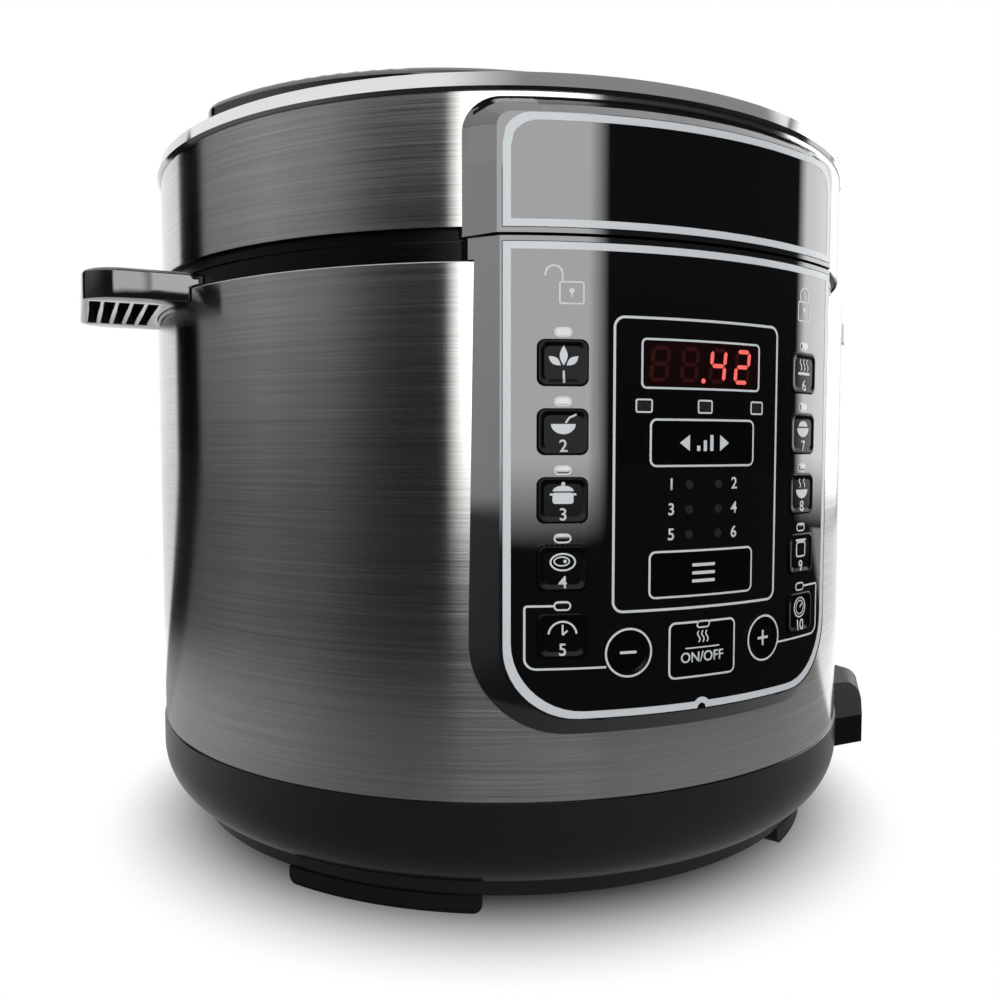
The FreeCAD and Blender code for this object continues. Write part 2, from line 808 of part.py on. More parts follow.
def front_block(label, half_width, low, high, corner, rounded_end):
    """A block from the axis out past the panel, with its two corners at the low or high end rounded."""
    body = new_body(label)
    sketch = new_sketch(body, "XZ_Plane")
    add_rectangle(sketch, (f"-({half_width})", low), (half_width, high))
    pad(body, sketch, "panel_radius + panel_rise * 2")
    box = body.Shape.BoundBox
    level = box.ZMin if rounded_end == "low" else box.ZMax
    fillet(body, lambda p: near(p.z, level) and near(abs(p.x), box.XMax), corner)
    return body


def trim_outside(body, radius):
    """Cut away all that lies farther from the axis than a radius."""
    box = body.Shape.BoundBox
    reach = "panel_radius * 1.5"
    low, high = f"{box.ZMin - 1}", f"{box.ZMax + 1}"
    groove(body, [(radius, low), (reach, low), (reach, high), (radius, high)])


def trim_inside(body, radius):
    box = body.Shape.BoundBox
    low, high = f"{box.ZMin - 1}", f"{box.ZMax + 1}"
    groove(body, [("0", low), (radius, low), (radius, high), ("0", high)])


def slope_front(body, open_z):
    """Slope the panel's border back from its face, apart from the edge at the split."""
    on_face = on_radius(size("panel_radius"))
    rim = edges_where(body.Tip.Shape, on_face)
    split = edges_where(body.Tip.Shape, lambda p: on_face(p) and near(p.z, open_z))
    base = body.Tip
    slope = body.newObject("PartDesign::Chamfer", "Chamfer")
    slope.Base = (base, [name for name in rim if name not in split])
    slope.ChamferType = "Two distances"
    slope.setExpression("Size", bound("panel_slope"))
    slope.setExpression("Size2", bound("panel_rise - panel_edge"))
    doc.recompute()


def sheet_in_frame(frame, name, half_width, low, high, corner, rounded_end):
    """Sink a flush sheet into a panel's frame and return the frame with the sheet's bed and opening."""
    sheet = front_block(name, half_width, low, high, corner, rounded_end)
    trim_outside(sheet, "panel_radius")
    trim_inside(sheet, "face_back")
    bed = front_block(name + "_bed", half_width + " + fit_gap", low + " - fit_gap", high + " + fit_gap",
                      corner + " + fit_gap", rounded_end)
    trim_inside(bed, "face_back")
    opening = front_block(name + "_opening", half_width + " - face_ledge", low + " + face_ledge",
                          high + " - face_ledge", corner + " - face_ledge", rounded_end)
    label = frame.Label
    frame.Label = label + "_block"
    bedded = cut(frame, bed, label + "_bedded")
    return sheet, cut(bedded, opening, label)


def control_panel():
    """Lower panel: a moulded frame with a sloped border round a flush sheet with openings for the keys."""
    block = front_block("control_panel_frame", "panel_half_width", "panel_bottom", "split_z",
                        "panel_round", "low")
    trim_outside(block, "panel_radius")
    slope_front(block, size("split_z"))
    reach, ledge = "body_radius + fit_gap", "neck_z + fit_gap"
    groove(block, [
        ("0", "panel_bottom - panel_rise"), (reach, "panel_bottom - panel_rise"), (reach, ledge),
        ("neck_radius + fit_gap", ledge), ("neck_radius + fit_gap", "split_z + panel_rise"),
        ("0", "split_z + panel_rise")])
    sheet, frame = sheet_in_frame(block, "control_panel_face", "face_half_width", "face_bottom",
                                  "split_z - face_top_gap", "face_round", "low")
    holes = new_sketch(sheet, "XZ_Plane")
    add_block(holes, "0", "window_z", "window_half_width * 2 + fit_gap * 2", "window_height + fit_gap * 2")
    for label, x, z, width, height in KEYS:
        add_block(holes, x, z, width + " + run_gap * 2", height + " + run_gap * 2")
    for label, x in ROUND_KEYS:
        add_circle(holes, x, "round_key_z", "round_key_radius + run_gap")
    pocket(sheet, holes, "panel_radius + panel_rise", reverse=True)
    finish(frame)
    finish(sheet)


def lid_panel():
    """Upper panel on the lid's skirt, in line with the lower one."""
    block = front_block("lid_panel_frame", "lid_panel_half_width", "lid_panel_z", "lid_panel_top",
                        "lid_panel_round", "high")
    trim_outside(block, "panel_radius")
    slope_front(block, size("lid_panel_z"))
    reach, ledge = "skirt_radius + fit_gap", "skirt_z - fit_gap"
    groove(block, [
        ("0", "lid_panel_z - panel_rise"), ("neck_radius + fit_gap", "lid_panel_z - panel_rise"),
        ("neck_radius + fit_gap", ledge), (reach, ledge), (reach, "rim_z + panel_rise"),
        ("0", "rim_z + panel_rise")])
    sheet, frame = sheet_in_frame(block, "lid_panel_face", "face_half_width", "lid_panel_z + face_top_gap",
                                  "lid_panel_top - lid_face_top_inset", "lid_face_round", "high")
    finish(frame)
    finish(sheet)


def front_key(label, x, z, outline):
    """A key that slides straight back through the panel's sheet; its front follows the panel's curve."""
    body = new_body(label)
    sketch = new_sketch(body, "XZ_Plane", "key_back")
    outline(sketch, x, z)
    pad(body, sketch, "key_radius - key_back + key_travel")
    return body


def square_key(label, x, z, width, height):
    body = front_key(label, x, z, lambda sketch, x, z: add_block(sketch, x, z, width, height))
    along = [f"Edge{i}" for i, edge in enumerate(body.Shape.Edges, 1)
             if near(abs(edge.tangentAt(edge.FirstParameter).y), 1)]
    base = body.Tip
    corners = body.newObject("PartDesign::Fillet", "Fillet")
    corners.Base = (base, along)
    corners.setExpression("Radius", bound("key_round"))
    doc.recompute()
    trim_outside(body, "key_radius")
    finish(body)


def round_key(label, x):
    body = front_key(label, x, "round_key_z",
                     lambda sketch, x, z: add_circle(sketch, x, z, "round_key_radius"))
    trim_outside(body, "key_radius")
    finish(body)


def display():
    """Smoked lens in the panel's sheet and the four-digit module behind it."""
    lens = new_body("display_lens")
    sketch = new_sketch(lens, "XZ_Plane")
    add_block(sketch, "0", "window_z", "window_half_width * 2", "window_height")
    pad(lens, sketch, "panel_radius + panel_rise")
    trim_outside(lens, "panel_radius")
    trim_inside(lens, "face_back")
    finish(lens)
    module = new_body("display_module")
    sketch = new_sketch(module, "XZ_Plane", "board_front")
    add_block(sketch, "0", "window_z", "(window_half_width - module_inset) * 2",
              "window_height - module_inset * 2")
    pad(module, sketch, "module_depth")
    finish(module)


def board_and_carrier():
    """Flat key board behind the panel in a carrier that passes through the housing's opening."""
    carrier = new_body("board_carrier")
    low, high = ("-carrier_half_width", "carrier_bottom"), ("carrier_half_width", "carrier_top")
    sketch = new_sketch(carrier, "XZ_Plane", "board_front")
    add_rectangle(sketch, low, high)
    add_rectangle(sketch, ("-carrier_half_width + carrier_wall", "carrier_bottom + carrier_wall"),
                  ("carrier_half_width - carrier_wall", "carrier_top - carrier_wall"))
    pad(carrier, sketch, "panel_radius - board_front")
    trim_outside(carrier, "body_radius")
    finish(carrier)
    board = new_body("control_board")
    sketch = new_sketch(board, "XZ_Plane", "board_back")
    add_rectangle(sketch, low, high)
    pad(board, sketch, "board_thickness")
    finish(board)
    switches = new_body("key_switches")
    sketch = new_sketch(switches, "XZ_Plane", "board_front")
    for label, x, z, width, height in KEYS:
        add_block(sketch, x, z, "switch_size", "switch_size")
    for label, x in ROUND_KEYS:
        add_block(sketch, x, "round_key_z", "switch_size", "switch_size")
    pad(switches, sketch, "switch_height")
    finish(switches)
    leds = new_body("indicator_leds")
    sketch = new_sketch(leds, "XZ_Plane", "board_front")
    for x, z in LAMPS:
        add_block(sketch, x, z, "led_size", "led_size")
    pad(leds, sketch, "led_rise")
    finish(leds)


def side_handle(label, turn):
    """Moulded grip under the lid: a tongue over the steel, rounded corners and a ribbed underside."""
    body = new_body(label)
    plan = new_sketch(body, "XY_Plane", "handle_z")
    add_rectangle(plan, ("neck_radius - handle_reach", "-handle_half_width"),
                  ("handle_end", "handle_half_width"))
    pad(body, plan, "handle_height")
    end, half = size("handle_end"), size("handle_half_width")
    fillet(body, lambda p: near(p.x, end) and near(abs(p.y), half), "handle_round")
    top = size("handle_top")
    rim = edges_where(body.Tip.Shape, lambda p: near(p.z, top))
    root = edges_where(body.Tip.Shape, lambda p: near(p.x, size("neck_radius") - size("handle_reach")))
    base = body.Tip
    rounded = body.newObject("PartDesign::Fillet", "Fillet")
    rounded.Base = (base, [name for name in rim if name not in root])
    rounded.setExpression("Radius", bound("handle_edge"))
    doc.recompute()
    outside, ledge = "body_radius + fit_gap", "neck_z + fit_gap"
    groove(body, [
        ("0", "handle_z - handle_wall"), (outside, "handle_z - handle_wall"), (outside, ledge),
        ("neck_radius + fit_gap", ledge), ("neck_radius + fit_gap", "handle_top + handle_wall"),
        ("0", "handle_top + handle_wall")])
    cells = new_sketch(body, "XY_Plane", "handle_z")
    for i in range(int(size("handle_rib_count")) + 1):
        left = f"body_radius + handle_wall + {i} * (handle_cell + handle_rib)"
        length = "handle_half_width - handle_round"
        add_rectangle(cells, (left, f"-({length})"), (left + " + handle_cell", length))
    pocket(body, cells, "handle_height - handle_wall", reverse=True)
    body.Placement = Placement(Vector(), Rotation(Vector(0, 0, 1), turn))
    finish(body)


def mains_inlet():
    """Hooded socket low on the right that opens to the back, with its three contact blades."""
    body = new_body("inlet_housing")
    plan = new_sketch(body, "XY_Plane", "inlet_bottom")
    add_polygon(plan, [
        ("inlet_near / 2", "-inlet_front"), ("inlet_near", "-inlet_front"),
        ("inlet_reach", "-inlet_shoulder"), ("inlet_reach", "-inlet_back"),
        ("inlet_near / 2", "-inlet_back")])
    pad(body, plan, "inlet_height")
    top, front = size("inlet_top"), -size("inlet_front")
    ease(body, "Chamfer", lambda p: near(p.z, top) and near(p.y, front), "inlet_slope")
    fillet(body, lambda p: near(p.z, top) and p.x > size("inlet_near"), "inlet_round")
    hull, edge = "band_radius + fit_gap", "bowl_z + knee_rise"
    groove(body, [
        ("0", "bowl_z"), ("bowl_radius + fit_gap", "bowl_z"), (hull, edge),
        (hull, "inlet_top + inlet_round"), ("0", "inlet_top + inlet_round")])
    socket = new_sketch(body, "XZ_Plane", "inlet_back")
    add_rectangle(socket, ("inlet_reach - socket_wall - socket_width", "socket_z - socket_height / 2"),
                  ("inlet_reach - socket_wall", "socket_z + socket_height / 2"))
    pocket(body, socket, "socket_depth", reverse=True)
    finish(body)
    pins = new_body("inlet_pins")
    sketch = new_sketch(pins, "XZ_Plane", "inlet_back + socket_depth - pin_length")
    for step in ("-pin_spread", "0", "pin_spread"):
        add_block(sketch, "inlet_reach - socket_wall - socket_width / 2", f"socket_z + {step}",
                  "pin_width", "pin_thickness")
    pad(pins, sketch, "pin_length")
    finish(pins)


def condensate_cup():
    """Clear cup at the back that slides out of a bracket on the housing."""
    cup = new_body("condensate_cup")
    plan = new_sketch(cup, "XY_Plane", "cup_z")
    add_rectangle(plan, ("-cup_half_width", "cup_front"), ("cup_half_width", "cup_back"))
    pad(cup, plan, "cup_height")
    hollow = new_sketch(cup, "XY_Plane", "cup_top")
    add_rectangle(hollow, ("-cup_half_width + cup_wall", "cup_front + cup_wall"),
                  ("cup_half_width - cup_wall", "cup_back - cup_wall"))
    pocket(cup, hollow, "cup_height - cup_wall")
    back, side, wall = size("cup_back"), size("cup_half_width"), size("cup_wall")
    fillet(cup, lambda p: near(p.y, back - wall) and near(abs(p.x), side - wall), "cup_round - cup_wall")
    fillet(cup, lambda p: near(p.y, back) and near(abs(p.x), side), "cup_round")
    rails = new_sketch(cup, "XY_Plane", "cup_top")
    for low, high in (("-cup_half_width - cup_rail", "-cup_half_width"),
                      ("cup_half_width", "cup_half_width + cup_rail")):
        add_rectangle(rails, (low, "cup_front"), (high, "cup_back - cup_round"))
    pad(cup, rails, "cup_rail_height", reverse=True)
    finish(cup)
    bracket = new_body("cup_bracket")
    arm_top = "cup_top - cup_rail_height - run_gap"
    arm_in, arm_out = "cup_half_width + run_gap", "cup_half_width + cup_rail + run_gap + bracket_lip"
    plate = new_sketch(bracket, "XY_Plane", arm_top + " - bracket_plate")
    add_rectangle(plate, (f"-({arm_out})", "body_radius - cup_depth"),
                  (arm_out, "body_radius + bracket_plate"))
    pad(bracket, plate, "cup_rail_height + run_gap + bracket_plate")
    arms = new_sketch(bracket, "XY_Plane", arm_top + " - bracket_plate")
    add_rectangle(arms, (f"-({arm_out})", "body_radius"), (f"-({arm_in})", "cup_back - cup_round"))
    add_rectangle(arms, (arm_in, "body_radius"), (arm_out, "cup_back - cup_round"))
    pad(bracket, arms, "bracket_plate")
    groove(bracket, [
        ("0", "cup_z"), ("body_radius + fit_gap", "cup_z"), ("body_radius + fit_gap", "neck_z"),
        ("0", "neck_z")])
    finish(bracket)


def lid_shell():
    """Brushed steel skirt of the lid, its black lower lip and the polished rim on top."""
    skirt = new_body("lid_skirt")
    revolve(skirt, [
        ("skirt_bore", "skirt_z"), ("skirt_radius", "skirt_z"),
        ("skirt_radius", "rim_z"), ("skirt_bore", "rim_z")])
    finish(skirt)
    lip = new_body("lid_lip")
    bore, seat = "lock_radius + fit_gap", "skirt_bore - fit_gap"
    revolve(lip, [
        (bore, "lid_z"), ("neck_radius", "lid_z"), ("neck_radius", "skirt_z"), (seat, "skirt_z"),
        (seat, "plate_top + lip_wall"), ("lock_radius - lip_flange", "plate_top + lip_wall"),
        ("lock_radius - lip_flange", "plate_top"), (bore, "plate_top")])
    finish(lip)
    rim = new_body("lid_rim")
    ledge_low = "cover_z - rim_ledge_thickness"
    revolve(rim, [
        ("rim_bore - rim_ledge", ledge_low), (seat, ledge_low), (seat, "rim_z"),
        ("skirt_radius + rim_low_proud", "rim_z"), ("skirt_radius + rim_proud", "rim_z + rim_bevel"),
        ("skirt_radius + rim_top_proud", "deck_z"), ("skirt_radius - rim_land", "deck_z"),
        ("rim_bore", "deck_z - rim_dish"), ("rim_bore", "cover_z"), ("rim_bore - rim_ledge", "cover_z")])
    finish(rim)


def lid_cover():
    """Black top moulding: a disc in the rim with a raised island round the grip's well."""
    body = new_body("lid_cover")
    revolve(body, [
        ("0", "cover_z"), ("cover_radius", "cover_z"), ("cover_radius", "deck_top"), ("0", "deck_top")])
    island = new_sketch(body, "XY_Plane", "cover_z")
    add_lens(island, "island_half_width", "island_bow", "island_tip")
    pad(body, island, "crown_z - cover_z")
    crown = size("crown_z")
    fillet(body, lambda p: near(p.z, crown), "island_edge")
    cup = new_sketch(body, "XY_Plane", "well_z - well_floor")
    add_lens(cup, "curb_half_width", "curb_bow", "curb_tip")
    pad(body, cup, "cover_z - well_z + well_floor")
    well = new_sketch(body, "XY_Plane", "crown_z")
    add_lens(well, "well_half_width", "well_bow", "well_tip")
    pocket(body, well, "crown_z - well_z")
    hollow = new_sketch(body, "XY_Plane", "cover_z")
    add_lens(hollow, "hollow_half_width", "hollow_bow", "hollow_tip")
    add_lens(hollow, "curb_half_width", "curb_bow", "curb_tip")
    pocket(body, hollow, "crown_z - cover_thickness - cover_z", reverse=True)
    holes = new_sketch(body, "XY_Plane", "well_z - well_floor")
    add_circle(holes, "valve_x", "valve_y", "pipe_radius + fit_gap")
    add_circle(holes, "float_x", "valve_y", "float_radius + run_gap + float_sleeve_wall + fit_gap")
    pocket(body, holes, "well_floor", reverse=True)
    bosses = new_sketch(body, "XY_Plane", "plate_top")
    add_circle(bosses, "boss_place", "boss_place", "boss_radius")
    repeat(body, [pad(body, bosses, "cover_z - plate_top")], "boss_count")
    pilots = new_sketch(body, "XY_Plane", "plate_top")
    add_circle(pilots, "boss_place", "boss_place", "screw_radius + fit_gap")
    repeat(body, [pocket(body, pilots, "screw_bite + run_gap", reverse=True)], "boss_count")
    finish(body)


def lid_handle():
    """Grip bar across the well on two legs, with room for the fingers under it."""
    body = new_body("lid_handle")
    sketch = new_sketch(body, "XY_Plane", "well_z")
    add_lens(sketch, "bar_half_depth", "bar_bow", "bar_tip")
    pad(body, sketch, "crown_z - well_z")
    sides = new_sketch(body, "XY_Plane", "crown_z")
    reach = "well_bow"
    add_rectangle(sides, (f"-{reach}", "bar_half_width"), (reach, "well_half_width * 2"))
    add_rectangle(sides, (f"-{reach}", "-well_half_width * 2"), (reach, "-bar_half_width"))
    pocket(body, sides, "crown_z - well_z")
    top, half = size("crown_z"), size("bar_half_width")
    fillet(body, lambda p: near(p.z, top) and near(abs(p.y), half), "bar_edge")
    gap = new_sketch(body, "XZ_Plane")
    add_rectangle(gap, ("-bar_gap", "well_z"), ("bar_gap", "crown_z - bar_thickness"))
    pocket(body, gap)
    finish(body)


def pressure_lid():
    """Pressed inner lid: a disc with a collar whose lugs turn under the outer pot's teeth."""
    body = new_body("pressure_lid")
    revolve(body, [
        ("0", "plate_low"), ("lock_bore", "plate_low"), ("lock_bore", "lug_low"), ("lock_radius", "lug_low"),
        ("lock_radius", "plate_top"), ("0", "plate_top")])
    lug = revolve(body, [
        ("lug_radius", "lug_low"), ("lock_bore + lock_wall / 2", "lug_low"),
        ("lock_bore + lock_wall / 2", "lug_top"), ("lug_radius", "lug_top")], "lug_span", "180 / lug_count")
    repeat(body, [lug], "lug_count")
    holes = new_sketch(body, "XY_Plane", "plate_low")
    add_circle(holes, "valve_x", "valve_y", "pipe_radius + fit_gap")
    add_circle(holes, "float_x", "valve_y", "float_radius + run_gap")
    pocket(body, holes, "plate_thickness", reverse=True)
    screw = new_sketch(body, "XY_Plane", "plate_low")
    add_circle(screw, "boss_place", "boss_place", "screw_radius + fit_gap")
    repeat(body, [pocket(body, screw, "plate_thickness", reverse=True)], "boss_count")
    finish(body)
    screws = new_body("lid_screws")
    shank = new_sketch(screws, "XY_Plane", "plate_low")
    add_circle(shank, "boss_place", "boss_place", "screw_radius")
    head = new_sketch(screws, "XY_Plane", "plate_low")
    add_circle(head, "boss_place", "boss_place", "screw_head")
    pads = [pad(screws, shank, "plate_thickness + screw_bite"),
            pad(screws, head, "screw_head_height", reverse=True)]
    repeat(screws, pads, "boss_count")
    finish(screws)


def sealing_ring():
    """Silicone ring under the pressure lid that seals on the inner pot's rim."""
    body = new_body("sealing_ring")
    inner, outer = "pot_bore - seal_inset", "pot_radius + seal_overlap"
    roof = "plate_low - seal_lip"
    revolve(body, [
        (inner, "plate_low"), (outer, "plate_low"), (outer, "seal_low"), (outer + " - seal_lip", "seal_low"),
        (outer + " - seal_lip", roof), (inner + " + seal_lip", roof), (inner + " + seal_lip", "seal_low"),
        (inner, "seal_low")])
    finish(body)


def place_on_lid(body, x):
    body.setExpression("Placement.Base.x", bound(x))
    body.setExpression("Placement.Base.y", bound("valve_y"))
    doc.recompute()
    finish(body)


def steam_valve():
    """Steam pipe through the lid, the knob that turns on it and the cap that keeps food out of it."""
    pipe = new_body("steam_pipe")
    flange = "plate_top + pipe_flange_height"
    revolve(pipe, [
        ("pipe_bore", "plate_low - pipe_tail"), ("pipe_radius", "plate_low - pipe_tail"),
        ("pipe_radius", "plate_top"), ("pipe_flange", "plate_top"), ("pipe_flange", flange),
        ("pipe_radius", flange), ("pipe_radius", "pipe_top"), ("pipe_bore", "pipe_top")])
    place_on_lid(pipe, "valve_x")
    knob = new_body("steam_valve")
    bore, roof = "pipe_radius + run_gap", "pipe_top + run_gap"
    shoulder = "valve_top - valve_fin_height"
    revolve(knob, [
        (bore, "valve_z"), ("valve_radius", "valve_z"), ("valve_radius", shoulder), ("0", shoulder),
        ("0", roof), (bore, roof)])
    fin = new_sketch(knob, "XY_Plane", shoulder)
    add_block(fin, "0", "0", "valve_radius * 2 - valve_fin_width", "valve_fin_width")
    pad(knob, fin, "valve_fin_height")
    place_on_lid(knob, "valve_x")
    cap = new_body("steam_shield")
    inside, floor = "shield_cap_radius - shield_cap_wall", "plate_low - shield_cap_height"
    revolve(cap, [
        (inside, "plate_low"), ("shield_cap_radius", "plate_low"), ("shield_cap_radius", floor),
        ("0", floor), ("0", floor + " + shield_cap_wall"), (inside, floor + " + shield_cap_wall")])
    slot = new_sketch(cap, "XZ_Plane")
    add_rectangle(slot, ("-shield_slot / 2", floor + " + shield_cap_wall"),
                  ("shield_slot / 2", "plate_low - shield_cap_wall"))
    repeat(cap, [pocket(cap, slot)], "shield_slot_count")
    place_on_lid(cap, "valve_x")


def float_valve():
    """Float pin that pressure lifts in its sleeve to lock the lid."""
    sleeve = new_body("float_sleeve")
    bore = "float_radius + run_gap"
    outside, flange = bore + " + float_sleeve_wall", "plate_top + pipe_flange_height"
    revolve(sleeve, [
        (bore, "plate_top"), ("pipe_flange", "plate_top"), ("pipe_flange", flange), (outside, flange),
        (outside, "well_z + float_sleeve_rise"), (bore, "well_z + float_sleeve_rise")])
    place_on_lid(sleeve, "float_x")
    pin = new_body("float_pin")
    stop = "plate_low - run_gap - float_travel"
    revolve(pin, [
        ("0", stop + " - float_foot_height"), ("float_foot", stop + " - float_foot_height"),
        ("float_foot", stop), ("float_radius", stop),
        ("float_radius", "well_z + float_sleeve_rise - float_travel / 2"),
        ("0", "well_z + float_sleeve_rise - float_travel / 2")])
    place_on_lid(pin, "float_x")


# Keys with straight sides: name, middle across and up, width and height.
KEYS = [(f"key_{side}_{row + 1}", f"{sign}key_column", f"key_top - {row} * key_pitch",
         "key_width", "key_height")
        for side, sign in (("left", "-"), ("right", "")) for row in range(5)]
KEYS += [("key_adjust", "0", "adjust_z", "wide_key_width", "wide_key_height"),
         ("key_function", "0", "function_z", "wide_key_width", "wide_key_height"),
         ("key_cancel", "0", "cancel_z", "cancel_width", "cancel_height")]
ROUND_KEYS = [("key_minus", "-round_key_x"), ("key_plus", "round_key_x")]

# Indicator lamps: over each side key, in a row under the display, in pairs between the wide keys and
# over the lowest key.
LAMPS = [(f"{sign}key_column", f"key_top - {row} * key_pitch + key_height / 2 + led_size")
         for sign in ("-", "") for row in range(5)]
LAMPS += [(x, "mode_lamp_z") for x in ("-mode_lamp_spread", "0", "mode_lamp_spread")]
LAMPS += [(f"{sign}menu_lamp_x", f"menu_lamp_z - {row} * menu_lamp_pitch")
          for sign in ("-", "") for row in range(3)]
LAMPS += [("0", "cancel_z + cancel_height / 2 + led_size")]

moulded_base()
foot_pads()
pot_screws()
power_board()
steel_housing()
neck_ring()
outer_pot()
heater_plate()
temperature_probe()
inner_pot()
control_panel()
display()
board_and_carrier()
for key in KEYS:
    square_key(*key)
for key in ROUND_KEYS:
    round_key(*key)
side_handle("handle_right", 0)
side_handle("handle_left", 180)
mains_inlet()
condensate_cup()
lid_shell()
lid_panel()
lid_cover()
lid_handle()
pressure_lid()
sealing_ring()
steam_valve()
float_valve()

doc.recompute()
failed = [o.Label for o in doc.Objects if any(word in o.State for word in ("Invalid", "Error"))]
failed += [n.Label for n in nodes if n.Shape.isNull() or not n.Shape.isValid()]
if failed:
    raise RuntimeError(f"pieces that failed: {failed}")
os.makedirs("parts", exist_ok=True)
for node in nodes:
    node.Shape.exportStep(f"parts/{node.Label}.step")
    print(node.Label, len(node.Shape.Solids), round(node.Shape.Volume, 1))
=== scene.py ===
import math

import bpy
from mathutils import Matrix, Vector


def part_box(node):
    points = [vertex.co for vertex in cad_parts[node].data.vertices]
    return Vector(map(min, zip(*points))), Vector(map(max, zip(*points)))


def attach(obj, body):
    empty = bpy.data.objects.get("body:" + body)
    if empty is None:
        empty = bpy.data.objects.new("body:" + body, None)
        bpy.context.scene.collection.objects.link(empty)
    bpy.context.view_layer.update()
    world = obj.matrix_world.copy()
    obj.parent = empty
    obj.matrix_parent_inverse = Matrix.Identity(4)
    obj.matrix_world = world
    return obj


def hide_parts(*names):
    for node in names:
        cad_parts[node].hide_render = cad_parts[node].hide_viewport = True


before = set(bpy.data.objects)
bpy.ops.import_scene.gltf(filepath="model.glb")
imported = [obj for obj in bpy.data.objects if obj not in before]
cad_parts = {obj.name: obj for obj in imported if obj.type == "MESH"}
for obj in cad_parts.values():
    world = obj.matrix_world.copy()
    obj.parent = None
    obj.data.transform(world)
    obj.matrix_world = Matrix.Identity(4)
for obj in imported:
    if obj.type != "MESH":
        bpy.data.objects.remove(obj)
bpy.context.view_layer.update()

bpy.context.scene.view_settings.view_transform = "Standard"


# Moulded base, which carries the housing and the outer pot, and the bracket of the cup at the back.
# The base's band, bowl and foot ring are one black moulding with a fine satin grain.
class Signal:
    """A shader socket that can be written in sums; add() hangs any other node on its material."""

    def __init__(self, tree, socket=None):
        self.tree = tree
        self.socket = socket

    def add(self, kind, settings, inputs, output=0):
        node = self.tree.nodes.new(kind)
        for name, value in settings.items():
            if name == "stops":
                stops = node.color_ramp.elements
                while len(stops) < len(value):
                    stops.new(0.5)
                for stop, (place, level) in zip(stops, value):
                    stop.position = place
                    stop.color = (level, level, level, 1.0)
            else:
                setattr(node, name, value)
        for name, value in inputs.items():
            if isinstance(value, Signal):
                self.tree.links.new(value.socket, node.inputs[name])
            else:
                node.inputs[name].default_value = value
        return Signal(self.tree, node.outputs[output])

    def place(self):
        """The piece's own coordinates."""
        return self.add("ShaderNodeTexCoord", {}, {}, output=3)

    def math(self, operation, first, second):
        return self.add("ShaderNodeMath", {"operation": operation}, {0: first, 1: second})

    def __add__(self, other):
        return self.math("ADD", self, other)

    def __mul__(self, other):
        return self.math("MULTIPLY", self, other)

    def __truediv__(self, other):
        return self.math("DIVIDE", self, other)

    __radd__ = __add__
    __rmul__ = __mul__

    def mottle(self, scale, detail=3.0):
        """Noise on the piece's own coordinates, with one scale or one per axis, in cycles per metre."""
        scale = scale if isinstance(scale, tuple) else (scale, scale, scale)
        place = self.add("ShaderNodeMapping", {}, {"Vector": self, "Scale": scale})
        return self.add("ShaderNodeTexNoise", {}, {"Vector": place, "Scale": 1.0, "Detail": detail})

    def tint(self, low, high):
        """A colour between two, by this signal's value."""
        mix = {0: self, 6: (*low, 1.0), 7: (*high, 1.0)}
        return self.add("ShaderNodeMix", {"data_type": "RGBA"}, mix, output=2)

    def relief(self, strength, height):
        """A bump normal from this signal; height is in metres."""
        return self.add("ShaderNodeBump", {}, {"Strength": strength, "Distance": height, "Height": self})


def new_finish(name, **constants):
    """A material whose main shader has some constant sockets, and the coordinates its patterns use."""
    material = bpy.data.materials.new(name)
    material.use_nodes = True
    shader = material.node_tree.nodes["Principled BSDF"]
    for socket, value in constants.items():
        shader.inputs[socket.replace("_", " ")].default_value = value
    return material, Signal(material.node_tree).place()


def vary(material, **signals):
    """Feed the main shader's sockets with signals that change over the surface."""
    shader = material.node_tree.nodes["Principled BSDF"]
    for socket, signal in signals.items():
        material.node_tree.links.new(signal.socket, shader.inputs[socket.replace("_", " ")])


def dress(material, *nodes):
    """Give solids of the frame their finish."""
    for node in nodes:
        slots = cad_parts[node].data.materials
        slots.clear()
        slots.append(material)


black_satin, place = new_finish("black_satin", IOR=1.5, Specular_IOR_Level=0.55)
grain = place.mottle(2600.0)
cloud = place.mottle(26.0)
vary(
    black_satin,
    Base_Color=cloud.tint((0.0018, 0.0018, 0.0018), (0.0035, 0.0035, 0.0033)),
    Roughness=0.17 + 0.1 * cloud,
    Normal=grain.relief(0.05, 0.00004),
)
dress(black_satin, "base_shell", "cup_bracket")

# Foot pads and the hood of the mains inlet: four rubber pads in the foot ring, and a small moulding.
# Both are matte black, with the fine dust that they pick up from a worktop.
foot_rubber, place = new_finish("foot_rubber", IOR=1.45, Specular_IOR_Level=0.25)
dust = place.mottle(420.0)
vary(
    foot_rubber,
    Base_Color=dust.tint((0.0015, 0.0015, 0.0015), (0.005, 0.005, 0.005)),
    Roughness=0.38 + 0.25 * dust,
    Normal=place.mottle(3200.0).relief(0.12, 0.00006),
)
dress(foot_rubber, "foot_pads", "inlet_housing")

# Steel housing and the lid's skirt: stainless sheet rolled into a sleeve.
# Brushed along the sheet, so the grain runs level round the body and smears lights upright.
brushed_steel, place = new_finish(
    "brushed_steel", Metallic=1.0, Anisotropic=0.9, Anisotropic_Rotation=0.25
)
hairline = place.mottle((22.0, 22.0, 3000.0), 2.0)
scratch = place.mottle((6.0, 6.0, 1300.0), 2.0)
brushing = 0.6 * hairline + 0.4 * scratch
vary(
    brushed_steel,
    Base_Color=brushing.tint((0.3, 0.3, 0.29), (0.72, 0.715, 0.695)),
    Roughness=0.09 + 0.12 * brushing,
    Normal=brushing.relief(0.1, 0.00004),
)
dress(brushed_steel, "housing_shell", "lid_skirt")

